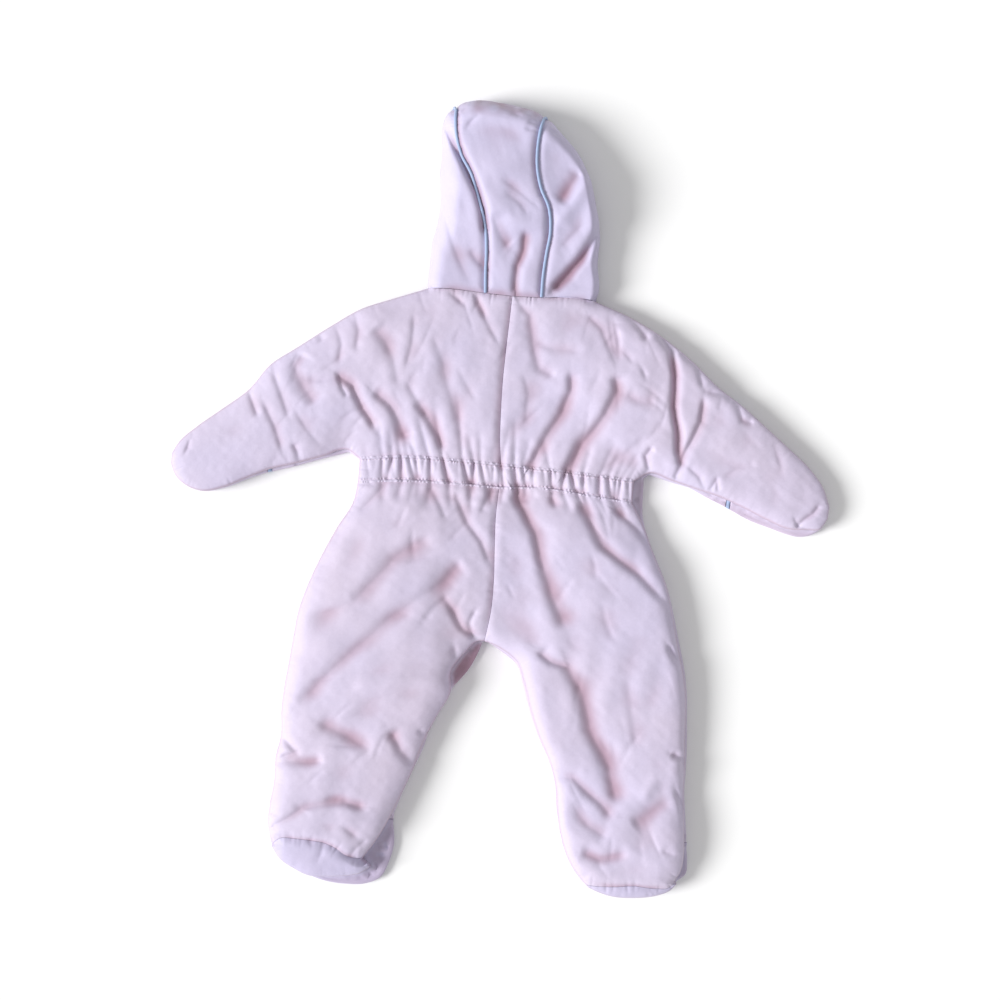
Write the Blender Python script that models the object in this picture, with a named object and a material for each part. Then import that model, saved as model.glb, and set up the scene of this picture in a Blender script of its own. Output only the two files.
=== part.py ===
"""A padded baby snowsuit laid flat on its front, so its back faces up.

Frame: +Y runs from the feet to the hood, +Z up, and the left side of the wearer is at -X.
The plan tables are in millimetres from the middle of the back waist. The model's origin
is on the surface it lies on, under the middle of its plan.
The front panels form the lower layer, the back panels lie on them as the upper layer,
and the hood is one hollow wall with its face opening underneath.
"""
import math

import bmesh
import bpy
import numpy as np

MM = 0.001
PLAN_CENTRE = (1.0, -25.035)    # middle of the plan, from the middle of the back waist
SEAM = 0.15                     # each side of a seam stands back by this
LAYER = 11.0                    # height at which the two layers meet
LAYER_GAP = 0.15
RIM = 1.2                       # thickness of an upper panel at its free edge
THINNEST = 2.2                  # an upper panel is never thinner than this inside its edge
ROLL = 15.0                     # width over which an upper panel rounds down to its edge
SEAM_DIP = 2.6
SEAM_DIP_WIDTH = 5.0
HOOD_WALL = 4.0
HOOD_ROLL_NECK = 15.0
HOOD_ROLL_CROWN = 30.0
HOOD_UNDER_ROLL = 11.0
PIPING_RADIUS = 1.7
PIPING_SEAT = 0.8
PIPING_DIP = 2.6
PIPING_UNDER_DIP = 4.6          # deeper where the suit rests on it
LOWER_ROUND = ((4.2, 0.0), (1.2, 1.8), (0.0, 5.2), (1.2, 8.9), (4.2, LAYER - LAYER_GAP))
ZIP_HALF = 7.0                  # half the gap between the fronts, filled by the zip
ZIP_FOOT = -150.0
ZIP_HEAD = 195.0
WRIST = 230.0
BINDING_WIDTH = 4.0
ANKLE = -352.0
SHOULDER_INSET = 0.8            # the front stays this far inside the back along the shoulder
SEAM_ROUND = 0.12               # how much of the round a lower panel keeps at a seam
HOOD_SIDE_TOP = 0.62            # share of a hood side's columns above its widest line
HOOD_CENTRE_TOP = 0.8           # share of the hood centre's rows above the crown edge
PIN_Y = 184.0
PIN_Z = 1.95
PIN_RADIUS = 0.45
EYE_INNER = 0.75
EYE_OUTER = 1.3
PULL_LENGTH = 20.0
PULL_THICK = 1.2
PULL_HALF = 2.0

# Grid lines of the panels
BACK_ROWS = 13
BACK_SLEEVE_COLUMNS = 18
CASING_ROWS = 5
LEG_ROWS = 27
SOLE_ROWS = 4
HOOD_ROWS = 18
HOOD_SIDE_COLUMNS = 6
HOOD_TURN = np.array([0.25, 0.5, 1.0])      # lines over the part turned under
HOOD_CENTRE_COLUMNS = 8

# Seams, x and y in the plan. Left is the wearer's left, at -x.
BACK_SEAM_TOP = ((0, 9.5), (-3, 36), (-4.2, 62), (-4.8, 92), (-4, 125), (-3, 152), (-2, 178))
BACK_SEAM_SEAT = ((0, -12), (-1, -42), (0.3, -73), (2, -103), (1.8, -134), (-2.5, -166.5))
NECK = {"left": ((-2, 178), (-30, 179), (-60, 180.5), (-87, 180)),
        "right": ((-2, 178), (28, 179), (56, 181.5), (82, 180))}
CASING_TOP = {"left": ((0, 9.5), (-47, 10.5), (-94, 10), (-141, 5)),
              "right": ((0, 9.5), (45, 8.5), (90, 6.5), (134, 4))}
CASING_FOOT = {"left": ((0, -12), (-47, -11.5), (-94, -12.5), (-141, -17)),
               "right": ((0, -12), (45, -9.5), (90, -13), (134, -17))}
UNDERARM = {"left": ((-141, 5), (-154, 13), (-178, 4.5), (-204, -4.5), (-231, -13),
                     (-252, -23), (-274, -34), (-296, -39.5), (-314, -34), (-324, -25),
                     (-329, -14)),
            "right": ((134, 4), (149, 13.5), (171, 8), (196, 1.5), (222, -5),
                      (245, -13.5), (268, -23), (292, -31), (310, -30.5), (323, -29),
                      (330, -18))}
SHOULDER = {"left": ((-87, 180), (-118, 168), (-152, 154), (-180, 135), (-212, 111),
                     (-237, 92), (-257, 65), (-283, 43), (-306, 24), (-322, 8),
                     (-328.5, -4)),
            "right": ((82, 180), (118, 167), (152, 149.5), (182, 129), (212, 103.5),
                      (236, 88), (262, 68), (287, 48.5), (309, 30), (323, 13),
                      (331, -6))}
INNER_LEG = {"left": ((-2.5, -166.5), (-10, -168), (-19, -178), (-33, -200), (-32, -220),
                      (-43, -244), (-54, -270), (-63, -300), (-72.5, -325),
                      (-79.5, -343), (-91, -368), (-106, -392.5)),
             "right": ((-2.5, -166.5), (15, -173), (31, -184), (39.5, -203), (49, -232),
                       (60, -258), (72, -281), (79.5, -303), (83.5, -330), (90, -357),
                       (101, -381), (117, -400.5))}
OUTER_LEG = {"left": ((-141, -17), (-144, -38), (-158, -65), (-172, -96), (-182.5, -124),
                      (-190, -152), (-193, -178), (-195.5, -203), (-198, -228),
                      (-199, -252), (-197.5, -276), (-201, -299), (-200.5, -322),
                      (-203, -345), (-203.5, -362), (-201, -375), (-196.5, -383.5)),
             "right": ((134, -17), (145.5, -36), (160, -68), (175, -99), (184, -129),
                       (190.5, -155), (197, -178), (202.5, -203), (204.5, -228),
                       (205.5, -252), (207.5, -275), (208, -297), (210, -320),
                       (212, -342), (213.5, -362), (211.5, -380), (206.5, -390))}
HEEL = {"left": ((-106, -392.5), (-122, -389.5), (-134, -382), (-145, -378),
                 (-160, -376.5), (-175, -376), (-189, -377), (-196.5, -383.5)),
        "right": ((117, -400.5), (130, -400.5), (145, -399.5), (165, -397), (188, -398),
                  (200, -396.5), (206.5, -390))}
SOLE = {"left": ((-97, -399.5), (-107, -407.5), (-122, -411.5), (-140, -413.5),
                 (-158, -414), (-175, -407.5), (-189, -399), (-198, -387)),
        "right": ((121, -404), (132, -408), (147, -411), (167, -410.5), (189, -406.5),
                  (202, -400.5), (208.5, -393.5))}

# Edges of the lower layer, where it is not the same as the upper one.
LOWER_SLEEVE = {"left": ((-178, 2.5), (-204, -7), (-226, -14)),
                "right": ((149, 12), (171, 6.5), (190, 2.5), (201, -2.5), (212, -7.5),
                          (226, -13))}
LOWER_HAND = {"left": ((-234, -16), (-252, -24), (-274, -34.5), (-296, -39.5),
                       (-314, -34), (-324, -25), (-329, -9), (-322, 8), (-306, 24),
                       (-283, 43), (-257, 65), (-240, 89)),
              "right": ((234, -17), (252, -25), (274, -31.5), (290, -36), (303, -38),
                        (318, -34), (328, -24), (331, -8), (323, 13), (309, 30),
                        (287, 48.5), (262, 68), (240, 86))}
LOWER_SIDE = {"left": ((-153, 11), (-141.5, 3), (-141.5, -17), (-144, -38), (-158, -65),
                       (-172, -96), (-182.5, -124), (-190, -152), (-193, -178),
                       (-195.5, -203), (-198, -228), (-199, -252), (-197.5, -276),
                       (-201, -299), (-200.5, -322), (-203, -345)),
              "right": ((144, 8), (144.5, -8), (146, -30), (153, -52), (163, -72),
                        (176, -99), (186, -130), (193, -155), (200, -180),
                        (204.5, -205), (206.5, -230), (208.5, -255), (209.5, -280),
                        (209.5, -300), (212, -322), (215, -345))}
LOWER_INNER = {"left": ((-79, -347), (-73, -328), (-64, -303), (-54, -276), (-50, -258),
                        (-40, -236), (-30, -216), (-16, -197), (-8, -180), (-4, -168)),
               "right": ((88, -347), (83, -330), (79, -303), (71, -281), (59, -259),
                         (48, -234), (38.5, -206), (32, -189), (16, -176.5),
                         (3, -169))}
LOWER_FOOT = {"left": ((-203.5, -357), (-203, -372), (-198, -388), (-185, -402),
                       (-165, -412.5), (-145, -419), (-122, -421), (-102, -419),
                       (-88, -412), (-80, -395), (-76.5, -376), (-79, -357)),
              "right": ((216, -357), (218, -372), (217.5, -384), (209, -392),
                        (200, -401.5), (185, -408), (165, -411.5), (145, -411),
                        (128, -408), (115, -400), (101, -383), (91, -362))}

# Hood, from the neck up to the crown: seam, widest line and hem of the face opening.
PIPING = {"left": ((-29, 179), (-30.5, 200), (-31.5, 222), (-34, 242), (-43, 270),
                   (-52, 293), (-64, 313), (-70.5, 332), (-72.5, 346), (-73, 357)),
          "right": ((27, 179), (27, 200), (28.5, 222), (30.5, 242), (27, 266), (18, 284),
                    (12.5, 305), (11.5, 325), (13.5, 344), (16.5, 355.5))}
HOOD_WIDEST = {"left": ((-87, 180), (-87, 203), (-85.5, 228), (-82, 250), (-81, 268),
                        (-84, 295), (-83.5, 318), (-85.5, 340), (-83, 352),
                        (-75.5, 362.5)),
               "right": ((82, 180), (83.5, 196), (81, 215), (80.5, 245), (76, 270),
                         (68, 297), (58, 317), (44, 335.5), (30, 349), (18.5, 359.5))}
FACE_HEM = {"left": ((-7.6, 178.3), (-9.5, 196), (-20, 208), (-42, 225), (-54, 246),
                     (-59, 268), (-58, 290), (-53, 307), (-45, 320), (-35, 329)),
            "right": ((7.6, 178.3), (9.5, 196), (20, 207), (36, 222), (44, 243),
                      (46, 265), (43, 285), (36, 303), (27, 317), (14, 328))}
CROWN_EDGE = ((-75.5, 362.5), (-61, 368.5), (-41, 371), (-20, 369), (0, 366), (18.5, 359.5))
BROW_HEM = ((-35, 329), (-22, 334), (-5, 334), (14, 328))

# Loft of the padding above the layer line: x, y, height. It is blended between rows.
LOFT = ((-75, 330, 30), (-30, 345, 36), (-30, 300, 39), (-10, 260, 36), (0, 215, 22),
        (50, 300, 33), (62, 250, 30), (-66, 255, 29), (-70, 205, 18), (60, 205, 17),
        (-20, 182, 13), (-65, 182, 13), (40, 182, 13), (75, 182, 12),
        (-60, 140, 16), (60, 140, 17), (0, 110, 16), (-100, 100, 18), (100, 100, 19),
        (0, 55, 14), (-60, 40, 13), (60, 40, 13), (-125, 55, 15), (140, 60, 17),
        (0, 0, 9), (-60, 0, 9), (60, 0, 9), (-125, 0, 8), (120, 0, 9),
        (-190, 85, 16), (190, 85, 16), (-220, 35, 14), (230, 40, 15), (-275, 5, 12),
        (275, 15, 14), (-315, -12, 10), (315, -5, 11),
        (-15, -60, 16), (-80, -60, 18), (80, -60, 19), (-135, -55, 15), (0, -125, 16),
        (-100, -130, 21), (100, -130, 21), (-110, -195, 20), (120, -200, 21),
        (-125, -260, 18), (135, -260, 19), (-135, -310, 18), (145, -320, 18),
        (-145, -350, 20), (150, -360, 22), (-150, -382, 24), (155, -393, 20),
        (-150, -405, 14), (155, -410, 12))
LOFT_BLEND = 24.0

# Gathers of the back waist: x at the casing's top edge, lean down to its lower edge,
# depth, then how far the trough runs up the back and down the seat, with its lean.
GATHERS = ((-118, 1, 2.2, 45, -8, 22, 1), (-108, -4, 2.2, 35, -6, 28, -3),
           (-100, 4, 2.8, 40, -8, 25, -4), (-92, 8, 2.2, 30, -9, 28, -5),
           (-85, 5, 2.2, 30, -12, 22, 0), (-71, 3, 3.0, 50, -18, 30, -2),
           (-58, 8, 3.2, 60, -14, 30, 5), (-38, 8, 3.2, 75, -12, 34, 6),
           (-27, 2, 3.0, 32, -8, 18, -2), (-20, 7, 2.6, 38, -4, 24, 10),
           (-7, 1, 1.8, 24, -1, 14, 0), (1, 4, 3.0, 45, 5, 20, -2),
           (14, 4, 3.0, 55, -4, 26, 3), (22, 5, 2.8, 34, 6, 18, 0),
           (33, 1, 1.8, 26, 2, 14, 2), (50, 3, 3.0, 34, -10, 20, 3),
           (64, -1, 3.0, 42, 14, 24, 12), (70, 8, 3.2, 48, 12, 26, 10),
           (83, 2, 2.6, 34, 6, 26, 12), (99, 2, 2.6, 42, 16, 24, 12),
           (108, 5, 2.6, 36, 12, 24, 14), (116, 0, 2.2, 28, 10, 18, 14),
           (121, -1, 2.6, 32, 18, 16, 12), (128, 3, 2.6, 24, 12, 12, 8))
GATHER_WIDTH = 2.6
GATHER_SPREAD = 1.8

# Folds: start x, y, end x, y, bow to the left of travel, height (a trough is negative),
# width on the left and on the right of travel, share of it kept at the start and end.
FOLDS = (
    # hood
    (-84, 340, -60, 300, 0, -5, 9, 4, 0.2, 1.0), (-60, 300, -34, 238, -3, -7, 10, 5, 1.0, 0.6),
    (-34, 238, -31, 205, 0, -3, 5, 5, 0.6, 0.0), (-80, 318, -44, 240, -6, 5, 9, 9, 0.2, 0.2),
    (81, 243, 33, 182, 4, -9, 9, 4.5, 1.0, 0.2), (66, 306, 48, 222, 0, 5, 12, 12, 0.3, 0.2),
    (48, 300, 38, 256, -2, -3, 8, 8, 0.0, 0.0), (-46, 288, 2, 212, 8, -4, 10, 10, 0.2, 0.4),
    (0, 206, 0, 182, 2, -6, 5, 5, 0.2, 0.8), (-80, 262, -38, 184, 7, -3.5, 9, 6, 0.2, 0.4),
    (-28, 300, 22, 258, -2, -2, 7, 7, 0.0, 0.0),
    # back
    (-4, 172, -7, 60, 0, -2.2, 7, 4, 0.6, 0.2), (8, 174, 35, 105, -8, -4, 10, 8, 0.4, 0.6),
    (35, 105, 64, 104, 2, -3, 7, 7, 0.6, 0.2), (64, 100, 30, 12, -6, -6, 4, 12, 0.3, 1.0),
    (106, 100, 70, 18, -4, -3.5, 7, 8, 0.0, 1.0), (119, 166, 146, 132, 2, -4.5, 6, 5, 1.0, 0.0),
    (112, 86, 152, 84, 5, -3, 8, 8, 0.2, 0.0), (142, 10, 153, 42, -2, -5, 4, 4, 1.0, 0.0),
    (122, 10, 152, 70, 0, -2.5, 6, 6, 0.6, 0.0), (-40, 14, -58, 100, -3, -4, 8, 8, 1.0, 0.0),
    (-56, 14, -76, 72, -2, -3.5, 7, 7, 1.0, 0.0), (-96, 24, -128, 72, 3, -5.5, 7, 7, 0.4, 0.2),
    (-104, 76, -127, 142, -3, -3.5, 9, 9, 0.0, 0.0), (-32, 168, -8, 110, 2, -3, 8, 8, 0.0, 0.3),
    (-90, 45, -98, 92, 3, -2.5, 8, 8, 0.0, 0.0),
    # left sleeve
    (-168, 83, -154, 56, 1, -5, 4, 4, 0.8, 0.0), (-166, 90, -126, 32, 9, -8, 7, 6, 0.5, 0.0),
    (-160, 149, -155, 102, 5, -2.8, 4, 5, 1.0, 0.0), (-206, 104, -190, 50, -9, -4, 8, 7, 0.0, 0.0),
    (-200, 78, -168, 87, -3, -3.2, 6, 7, 0.2, 0.4), (-214, 52, -190, 20, 2, -4.5, 5, 5, 0.2, 0.0),
    (-206, 26, -199, -3, -4, -5.5, 4, 4, 0.2, 1.0), (-243, 50, -214, 0, -2, -4.5, 6, 7, 0.0, 0.6),
    (-236, 88, -216, 36, 0, -3, 5, 6, 0.4, 0.0), (-194, 123, -182, 112, 2, -3.5, 5, 5, 1.0, 0.0),
    (-177, 136, -168, 104, 3, -2.8, 5, 5, 0.8, 0.0),
    # right sleeve
    (162, 143, 170, 96, -1, -9, 8, 7, 1.0, 1.0), (170, 96, 176, 32, 0, -9, 7, 7, 1.0, 0.2),
    (195, 86, 171, 10, -7, -6, 5, 6, 0.0, 1.0), (203, 112, 200, 94, 2, -4.5, 6, 6, 1.0, 0.3),
    (232, 91, 236, 66, 1, -4.5, 4, 4, 1.0, 0.0), (220, 97, 211, 70, 1, -3, 4, 4, 1.0, 0.0),
    (199, 32, 204, 4, 1, -3, 4, 4, 0.0, 0.8), (211, 0, 221, 15, 4, -3, 3, 3, 1.0, 0.0),
    (300, -28, 315, -8, -3, -3.5, 3.5, 3.5, 1.0, 0.0),
    # seat and left leg
    (-38, -14, -4, -84, -4, -5.5, 6, 7, 1.0, 0.4), (-17, -12, 0, -32, 0, -4, 4, 4, 1.0, 0.2),
    (-36, -86, -64, -150, 4, -4.5, 8, 8, 0.2, 0.3), (-52, -132, -20, -174, -2, -6, 6, 6, 0.4, 0.6),
    (-48, -70, -152, -150, 3, -4, 10, 9, 0.0, 0.0), (-17, -139, -9, -165, -5, -5, 4, 4, 0.3, 1.0),
    (-34, -168, -31, -212, -4, -8, 5, 5, 0.6, 1.0), (-128, -178, -188, -252, 4, -4, 14, 14, 0.0, 0.2),
    (-60, -209, -142, -224, 2, -2.5, 8, 8, 0.2, 0.0), (-166, -262, -92, -286, 2, -4.5, 9, 9, 0.0, 0.0),
    (-96, -260, -64, -302, -3, -6.5, 5, 5, 0.0, 1.0), (-59, -257, -52, -272, 0, -5, 4, 4, 0.2, 1.0),
    (-198, -275, -182, -292, 3, -4, 5, 5, 0.8, 0.0), (-202, -305, -148, -298, 3, -4.5, 6, 6, 1.0, 0.0),
    (-194, -358, -126, -336, -3, -5.5, 7, 8, 0.5, 0.5), (-126, -336, -110, -343, 2, -4, 7, 7, 0.8, 0.0),
    (-132, -352, -108, -370, 1, -3.5, 6, 6, 0.0, 0.0),
    # right leg
    (18, -12, 50, -118, -6, -6.5, 7, 9, 1.0, 1.0), (50, -118, 62, -184, -2, -6.5, 9, 12, 1.0, 1.0),
    (62, -184, 98, -205, 3, -6, 7, 9, 1.0, 1.0), (98, -205, 143, -330, 3, -6.5, 9, 12, 1.0, 0.0),
    (62, -12, 178, -116, -10, -5.5, 7, 8, 1.0, 0.5), (82, -14, 98, -44, 0, -4, 4, 5, 1.0, 0.3),
    (102, -14, 166, -80, -3, -5.5, 5, 5, 1.0, 1.0), (118, -16, 144, -34, -2, -4, 4, 4, 1.0, 1.0),
    (98, -316, 146, -352, -4, -4.5, 8, 8, 0.0, 0.0), (78, -291, 136, -336, 5, -3, 6, 7, 0.8, 0.0),
    (106, -362, 192, -354, -14, -5, 8, 8, 0.0, 0.0), (176, -318, 206, -284, 7, -4, 7, 7, 0.0, 0.6),
    (187, -172, 198, -181, 0, -4.5, 4, 4, 0.2, 1.0), (195, -263, 208, -276, 0, -4.5, 4, 4, 0.4, 1.0),
    (156, -238, 158, -312, 4, -2.5, 10, 10, 0.0, 0.0),
)

FOLD_STEPS = 6
CLOTH = {"shell": (0.78, 0.74, 0.84, 0.75), "piping": (0.66, 0.80, 0.90, 0.6),
         "metal": (0.72, 0.72, 0.74, 0.35), "tape": (0.76, 0.72, 0.82, 0.8)}


# ---------------------------------------------------------------- curves in the plan
def curve_at(table, fractions):
    """Points of a smooth curve through a table's rows; a fraction of 1 is the last row."""
    keys = np.array(table, float)
    gaps = np.linalg.norm(np.diff(keys, axis=0), axis=1)[:, None]
    slopes = np.diff(keys, axis=0) / gaps
    tangents = np.vstack([slopes[:1], slopes[:1], slopes[1:]])
    inner = slopes[:-1] * gaps[1:] + slopes[1:] * gaps[:-1]
    tangents[1:-1] = inner / (gaps[:-1] + gaps[1:])
    place = np.clip(np.atleast_1d(fractions), 0.0, 1.0) * (len(keys) - 1)
    low = np.minimum(place.astype(int), len(keys) - 2)
    f = (place - low)[:, None]
    run = gaps[low]
    return ((2 * f ** 3 - 3 * f ** 2 + 1) * keys[low] + (f ** 3 - 2 * f ** 2 + f) * run * tangents[low]
            + (3 * f ** 2 - 2 * f ** 3) * keys[low + 1] + (f ** 3 - f ** 2) * run * tangents[low + 1])


def chain_at(tables, stations):
    """Points along tables that follow each other; a station counts table rows from 0."""
    stations = np.atleast_1d(np.array(stations, float))
    points = np.zeros((len(stations), 2))
    start = 0
    for number, table in enumerate(tables):
        steps = len(table) - 1
        last = number == len(tables) - 1
        mine = (stations >= start) & ((stations < start + steps) | last)
        if mine.any():
            points[mine] = curve_at(table, (stations[mine] - start) / steps)
        start += steps
    return points


def chain_steps(tables):
    return sum(len(table) - 1 for table in tables)


def distance_to(points, line, closed=False):
    """Distance from each point to the nearest part of a line."""
    ends = np.roll(line, -1, axis=0) if closed else line[1:]
    starts = line if closed else line[:-1]
    best = np.full(len(points), np.inf)
    for a, b in zip(starts, ends):
        along = b - a
        share = np.clip((points - a) @ along / max(along @ along, 1e-9), 0, 1)[:, None]
        best = np.minimum(best, np.linalg.norm(points - a - share * along, axis=1))
    return best


def soft_step(value):
    value = np.clip(value, 0, 1)
    return value * value * (3 - 2 * value)


# ---------------------------------------------------------------- height of the padding
def fold_heights(points, rows, spread=0.0):
    """Sum of the folds at each point: soft troughs and ridges along bowed lines."""
    total = np.zeros(len(points))
    for x1, y1, x2, y2, bow, height, left, right, keep1, keep2 in rows:
        a, b = np.array([x1, y1], float), np.array([x2, y2], float)
        across = np.array([-(b - a)[1], (b - a)[0]]) / np.linalg.norm(b - a)
        middle = (a + b) / 2 + across * 2 * bow
        f = np.linspace(0, 1, FOLD_STEPS + 1)[:, None]
        line = (1 - f) ** 2 * a + 2 * f * (1 - f) * middle + f ** 2 * b
        reach = 3 * max(left, right) * (1 + spread)
        near = np.all((points > line.min(0) - reach) & (points < line.max(0) + reach), axis=1)
        local = points[near]
        best = np.full(len(local), np.inf)
        share = np.zeros(len(local))
        side = np.zeros(len(local))
        for step in range(FOLD_STEPS):
            along = line[step + 1] - line[step]
            off = local - line[step]
            part = np.clip(off @ along / (along @ along), 0, 1)
            gap = np.linalg.norm(off - part[:, None] * along, axis=1)
            closer = gap < best
            best = np.where(closer, gap, best)
            share = np.where(closer, (step + part) / FOLD_STEPS, share)
            side = np.where(closer, along[0] * off[:, 1] - along[1] * off[:, 0], side)
        width = np.where(side > 0, left, right) * (1 + spread * share)
        fade = keep1 + (1 - keep1) * soft_step(share / 0.4)
        fade *= keep2 + (1 - keep2) * soft_step((1 - share) / 0.4)
        total[near] += height * fade * np.exp(-(best / width) ** 2)
    return total


def gather_rows():
    """The waist gathers as folds: in the casing, up the back and down the seat."""
    casing, body = [], []
    for x, lean, depth, up, up_lean, down, down_lean in GATHERS:
        top, foot = casing_y(x, CASING_TOP), casing_y(x + lean, CASING_FOOT)
        casing.append((x, top, x + lean, foot, 0, -depth, GATHER_WIDTH, GATHER_WIDTH, 1, 1))
        body.append((x, top, x + up_lean, top + up, 0, -depth, GATHER_WIDTH, GATHER_WIDTH, 1, 0))
        body.append((x + lean, foot, x + lean + down_lean, foot - down, 0, -depth,
                     GATHER_WIDTH, GATHER_WIDTH, 1, 0))
    return casing, body


def casing_y(x, edge):
    line = edge["left"] if x < 0 else edge["right"]
    points = curve_at(line, np.linspace(0, 1, 40))
    order = np.argsort(points[:, 0])
    return float(np.interp(x, points[order, 0], points[order, 1]))


def neck_y(x):
    points = np.vstack([curve_at(NECK[side], np.linspace(0, 1, 30)) for side in ("left", "right")])
    order = np.argsort(points[:, 0])
    return np.interp(x, points[order, 0], points[order, 1])


def loft(points):
    """Height of the padding above the layer line, blended between the table's rows."""
    rows = np.array(LOFT, float)
    apart = np.linalg.norm(points[:, None] - rows[None, :, :2], axis=2)
    nearest = apart.min(axis=1, keepdims=True)
    weight = np.exp(-(apart ** 2 - nearest ** 2) / LOFT_BLEND ** 2 / 2)
    return (weight * rows[:, 2]).sum(1) / weight.sum(1)


def rounded(share):
    """Quarter circle from 0 at a free edge to 1 where the panel is full."""
    return np.sqrt(1 - (1 - np.clip(share, 0, 1)) ** 2)


def upper_outline():
    """The free edge of the back panels, round the whole suit below the neck."""
    fine = np.linspace(0, 1, 60)
    parts = []
    for side, turn in (("left", 1), ("right", -1)):
        half = np.vstack([curve_at(SHOULDER[side], fine), curve_at(UNDERARM[side], fine[::-1]),
                          curve_at(OUTER_LEG[side], fine), curve_at(SOLE[side], fine[::-1]),
                          curve_at(INNER_LEG[side], fine[::-1])])
        parts.append(half[::turn])
    return np.vstack(parts)


def seam_lines():
    fine = np.linspace(0, 1, 24)
    lines = [curve_at(BACK_SEAM_TOP, fine), curve_at(BACK_SEAM_SEAT, fine)]
    for table in (NECK, CASING_TOP, CASING_FOOT, HEEL):
        lines += [curve_at(table[side], fine) for side in ("left", "right")]
    return lines


def upper_height(plan, gathers):
    """Height of the back panels' outer face at plan points."""
    points = plan.reshape(-1, 2)
    edge = rounded(distance_to(points, upper_outline()) / ROLL)
    seam = np.min([distance_to(points, line) for line in seam_lines()], axis=0)
    full = loft(points) + fold_heights(points, FOLDS) + fold_heights(points, gathers, GATHER_SPREAD)
    full = np.maximum(full - SEAM_DIP * np.exp(-(seam / SEAM_DIP_WIDTH) ** 2), THINNEST)
    return (LAYER + LAYER_GAP + RIM + edge * (full - RIM)).reshape(plan.shape[:-1])


# ---------------------------------------------------------------- meshes
def to_world(points):
    """Plan millimetres to model metres."""
    moved = np.array(points, float)
    moved[..., 0] -= PLAN_CENTRE[0]
    moved[..., 1] -= PLAN_CENTRE[1]
    return moved * MM


def finish(name, mesh_data, material, collection):
    bmesh.ops.recalc_face_normals(mesh_data, faces=mesh_data.faces[:])
    if mesh_data.calc_volume(signed=True) < 0:
        bmesh.ops.reverse_faces(mesh_data, faces=mesh_data.faces[:])
    mesh = bpy.data.meshes.new(name)
    mesh_data.to_mesh(mesh)
    mesh_data.free()
    mesh.materials.append(material)
    mesh.shade_smooth()
    mesh.set_sharp_from_angle(angle=math.radians(50))
    piece = bpy.data.objects.new(name, mesh)
    collection.objects.link(piece)
    return piece


def grid_sheet(places):
    """An open grid whose vertices take the places of a rows by columns table."""
    rows, columns = places.shape[:2]
    sheet = bmesh.new()
    bmesh.ops.create_grid(sheet, x_segments=rows - 1, y_segments=columns - 1, size=1.0)
    for vertex in sheet.verts:
        row = round((vertex.co.x + 1) / 2 * (rows - 1))
        column = round((vertex.co.y + 1) / 2 * (columns - 1))
        vertex.co = places[row, column]
    return sheet


def upper_panel(name, plan, height, material, collection):
    """A back panel: a shaped outer face over a flat underside."""
    places = to_world(np.dstack([plan, height]))
    sheet = grid_sheet(places)
    rim = [edge for edge in sheet.edges if edge.is_boundary]
    made = bmesh.ops.extrude_edge_only(sheet, edges=rim)["geom"]
    for vertex in (item for item in made if isinstance(item, bmesh.types.BMVert)):
        vertex.co.z = (LAYER + LAYER_GAP) * MM
    low_edges = [item for item in made if isinstance(item, bmesh.types.BMEdge)
                 and all(abs(v.co.z - (LAYER + LAYER_GAP) * MM) < 1e-7 for v in item.verts)]
    underside = bmesh.ops.edgeloop_fill(sheet, edges=low_edges)["faces"]
    bmesh.ops.triangulate(sheet, faces=underside, ngon_method="BEAUTY")
    return finish(name, sheet, material, collection)


def lower_panel(name, outline, roundness, material, collection):
    """A front panel: a flat slab whose free edges are rounded above and below."""
    ahead = np.roll(outline, -1, axis=0) - outline
    turned = np.stack([-ahead[:, 1], ahead[:, 0]], axis=1) / np.linalg.norm(ahead, axis=1)[:, None]
    inward = turned + np.roll(turned, 1, axis=0)
    inward /= np.maximum(np.linalg.norm(inward, axis=1), 0.8)[:, None]
    x, y = outline[:, 0], outline[:, 1]
    if (x * np.roll(y, -1) - np.roll(x, -1) * y).sum() < 0:
        inward = -inward
    slab = bmesh.new()
    rings = []
    for step, z in LOWER_ROUND:
        ring = outline + inward * (roundness[:, None] * step)
        places = to_world(np.column_stack([ring, np.full(len(ring), z)]))
        rings.append([slab.verts.new(place) for place in places])
    for low, high in zip(rings[:-1], rings[1:]):
        for here in range(len(low)):
            slab.faces.new((low[here - 1], low[here], high[here], high[here - 1]))
    caps = [slab.faces.new(rings[0][::-1]), slab.faces.new(rings[-1])]
    bmesh.ops.triangulate(slab, faces=caps, ngon_method="BEAUTY")
    return finish(name, slab, material, collection)


def shell_panel(name, outer, inner, material, collection):
    """A wall between an outer and an inner face of the same rows and columns."""
    outer, inner = to_world(outer), to_world(inner)
    sheet = grid_sheet(outer)
    inner_of = {}
    for vertex in sheet.verts:
        gap = np.linalg.norm(outer.reshape(-1, 3) - np.array(vertex.co), axis=1)
        inner_of[tuple(vertex.co)] = inner.reshape(-1, 3)[gap.argmin()]
    made = bmesh.ops.extrude_face_region(sheet, geom=sheet.faces[:])["geom"]
    grown = {item for item in made if isinstance(item, bmesh.types.BMVert)}
    for vertex in grown:
        vertex.co = inner_of[tuple(vertex.co)]
    for face in [f for f in sheet.faces if len(grown.intersection(f.verts)) == 2]:
        near = min((v for v in face.verts if v not in grown), key=lambda v: v.co.y)
        across = next(v for v in face.verts if v in grown and not any(near in e.verts for e in v.link_edges))
        bmesh.utils.face_split(face, near, across)
    return finish(name, sheet, material, collection)


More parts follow.
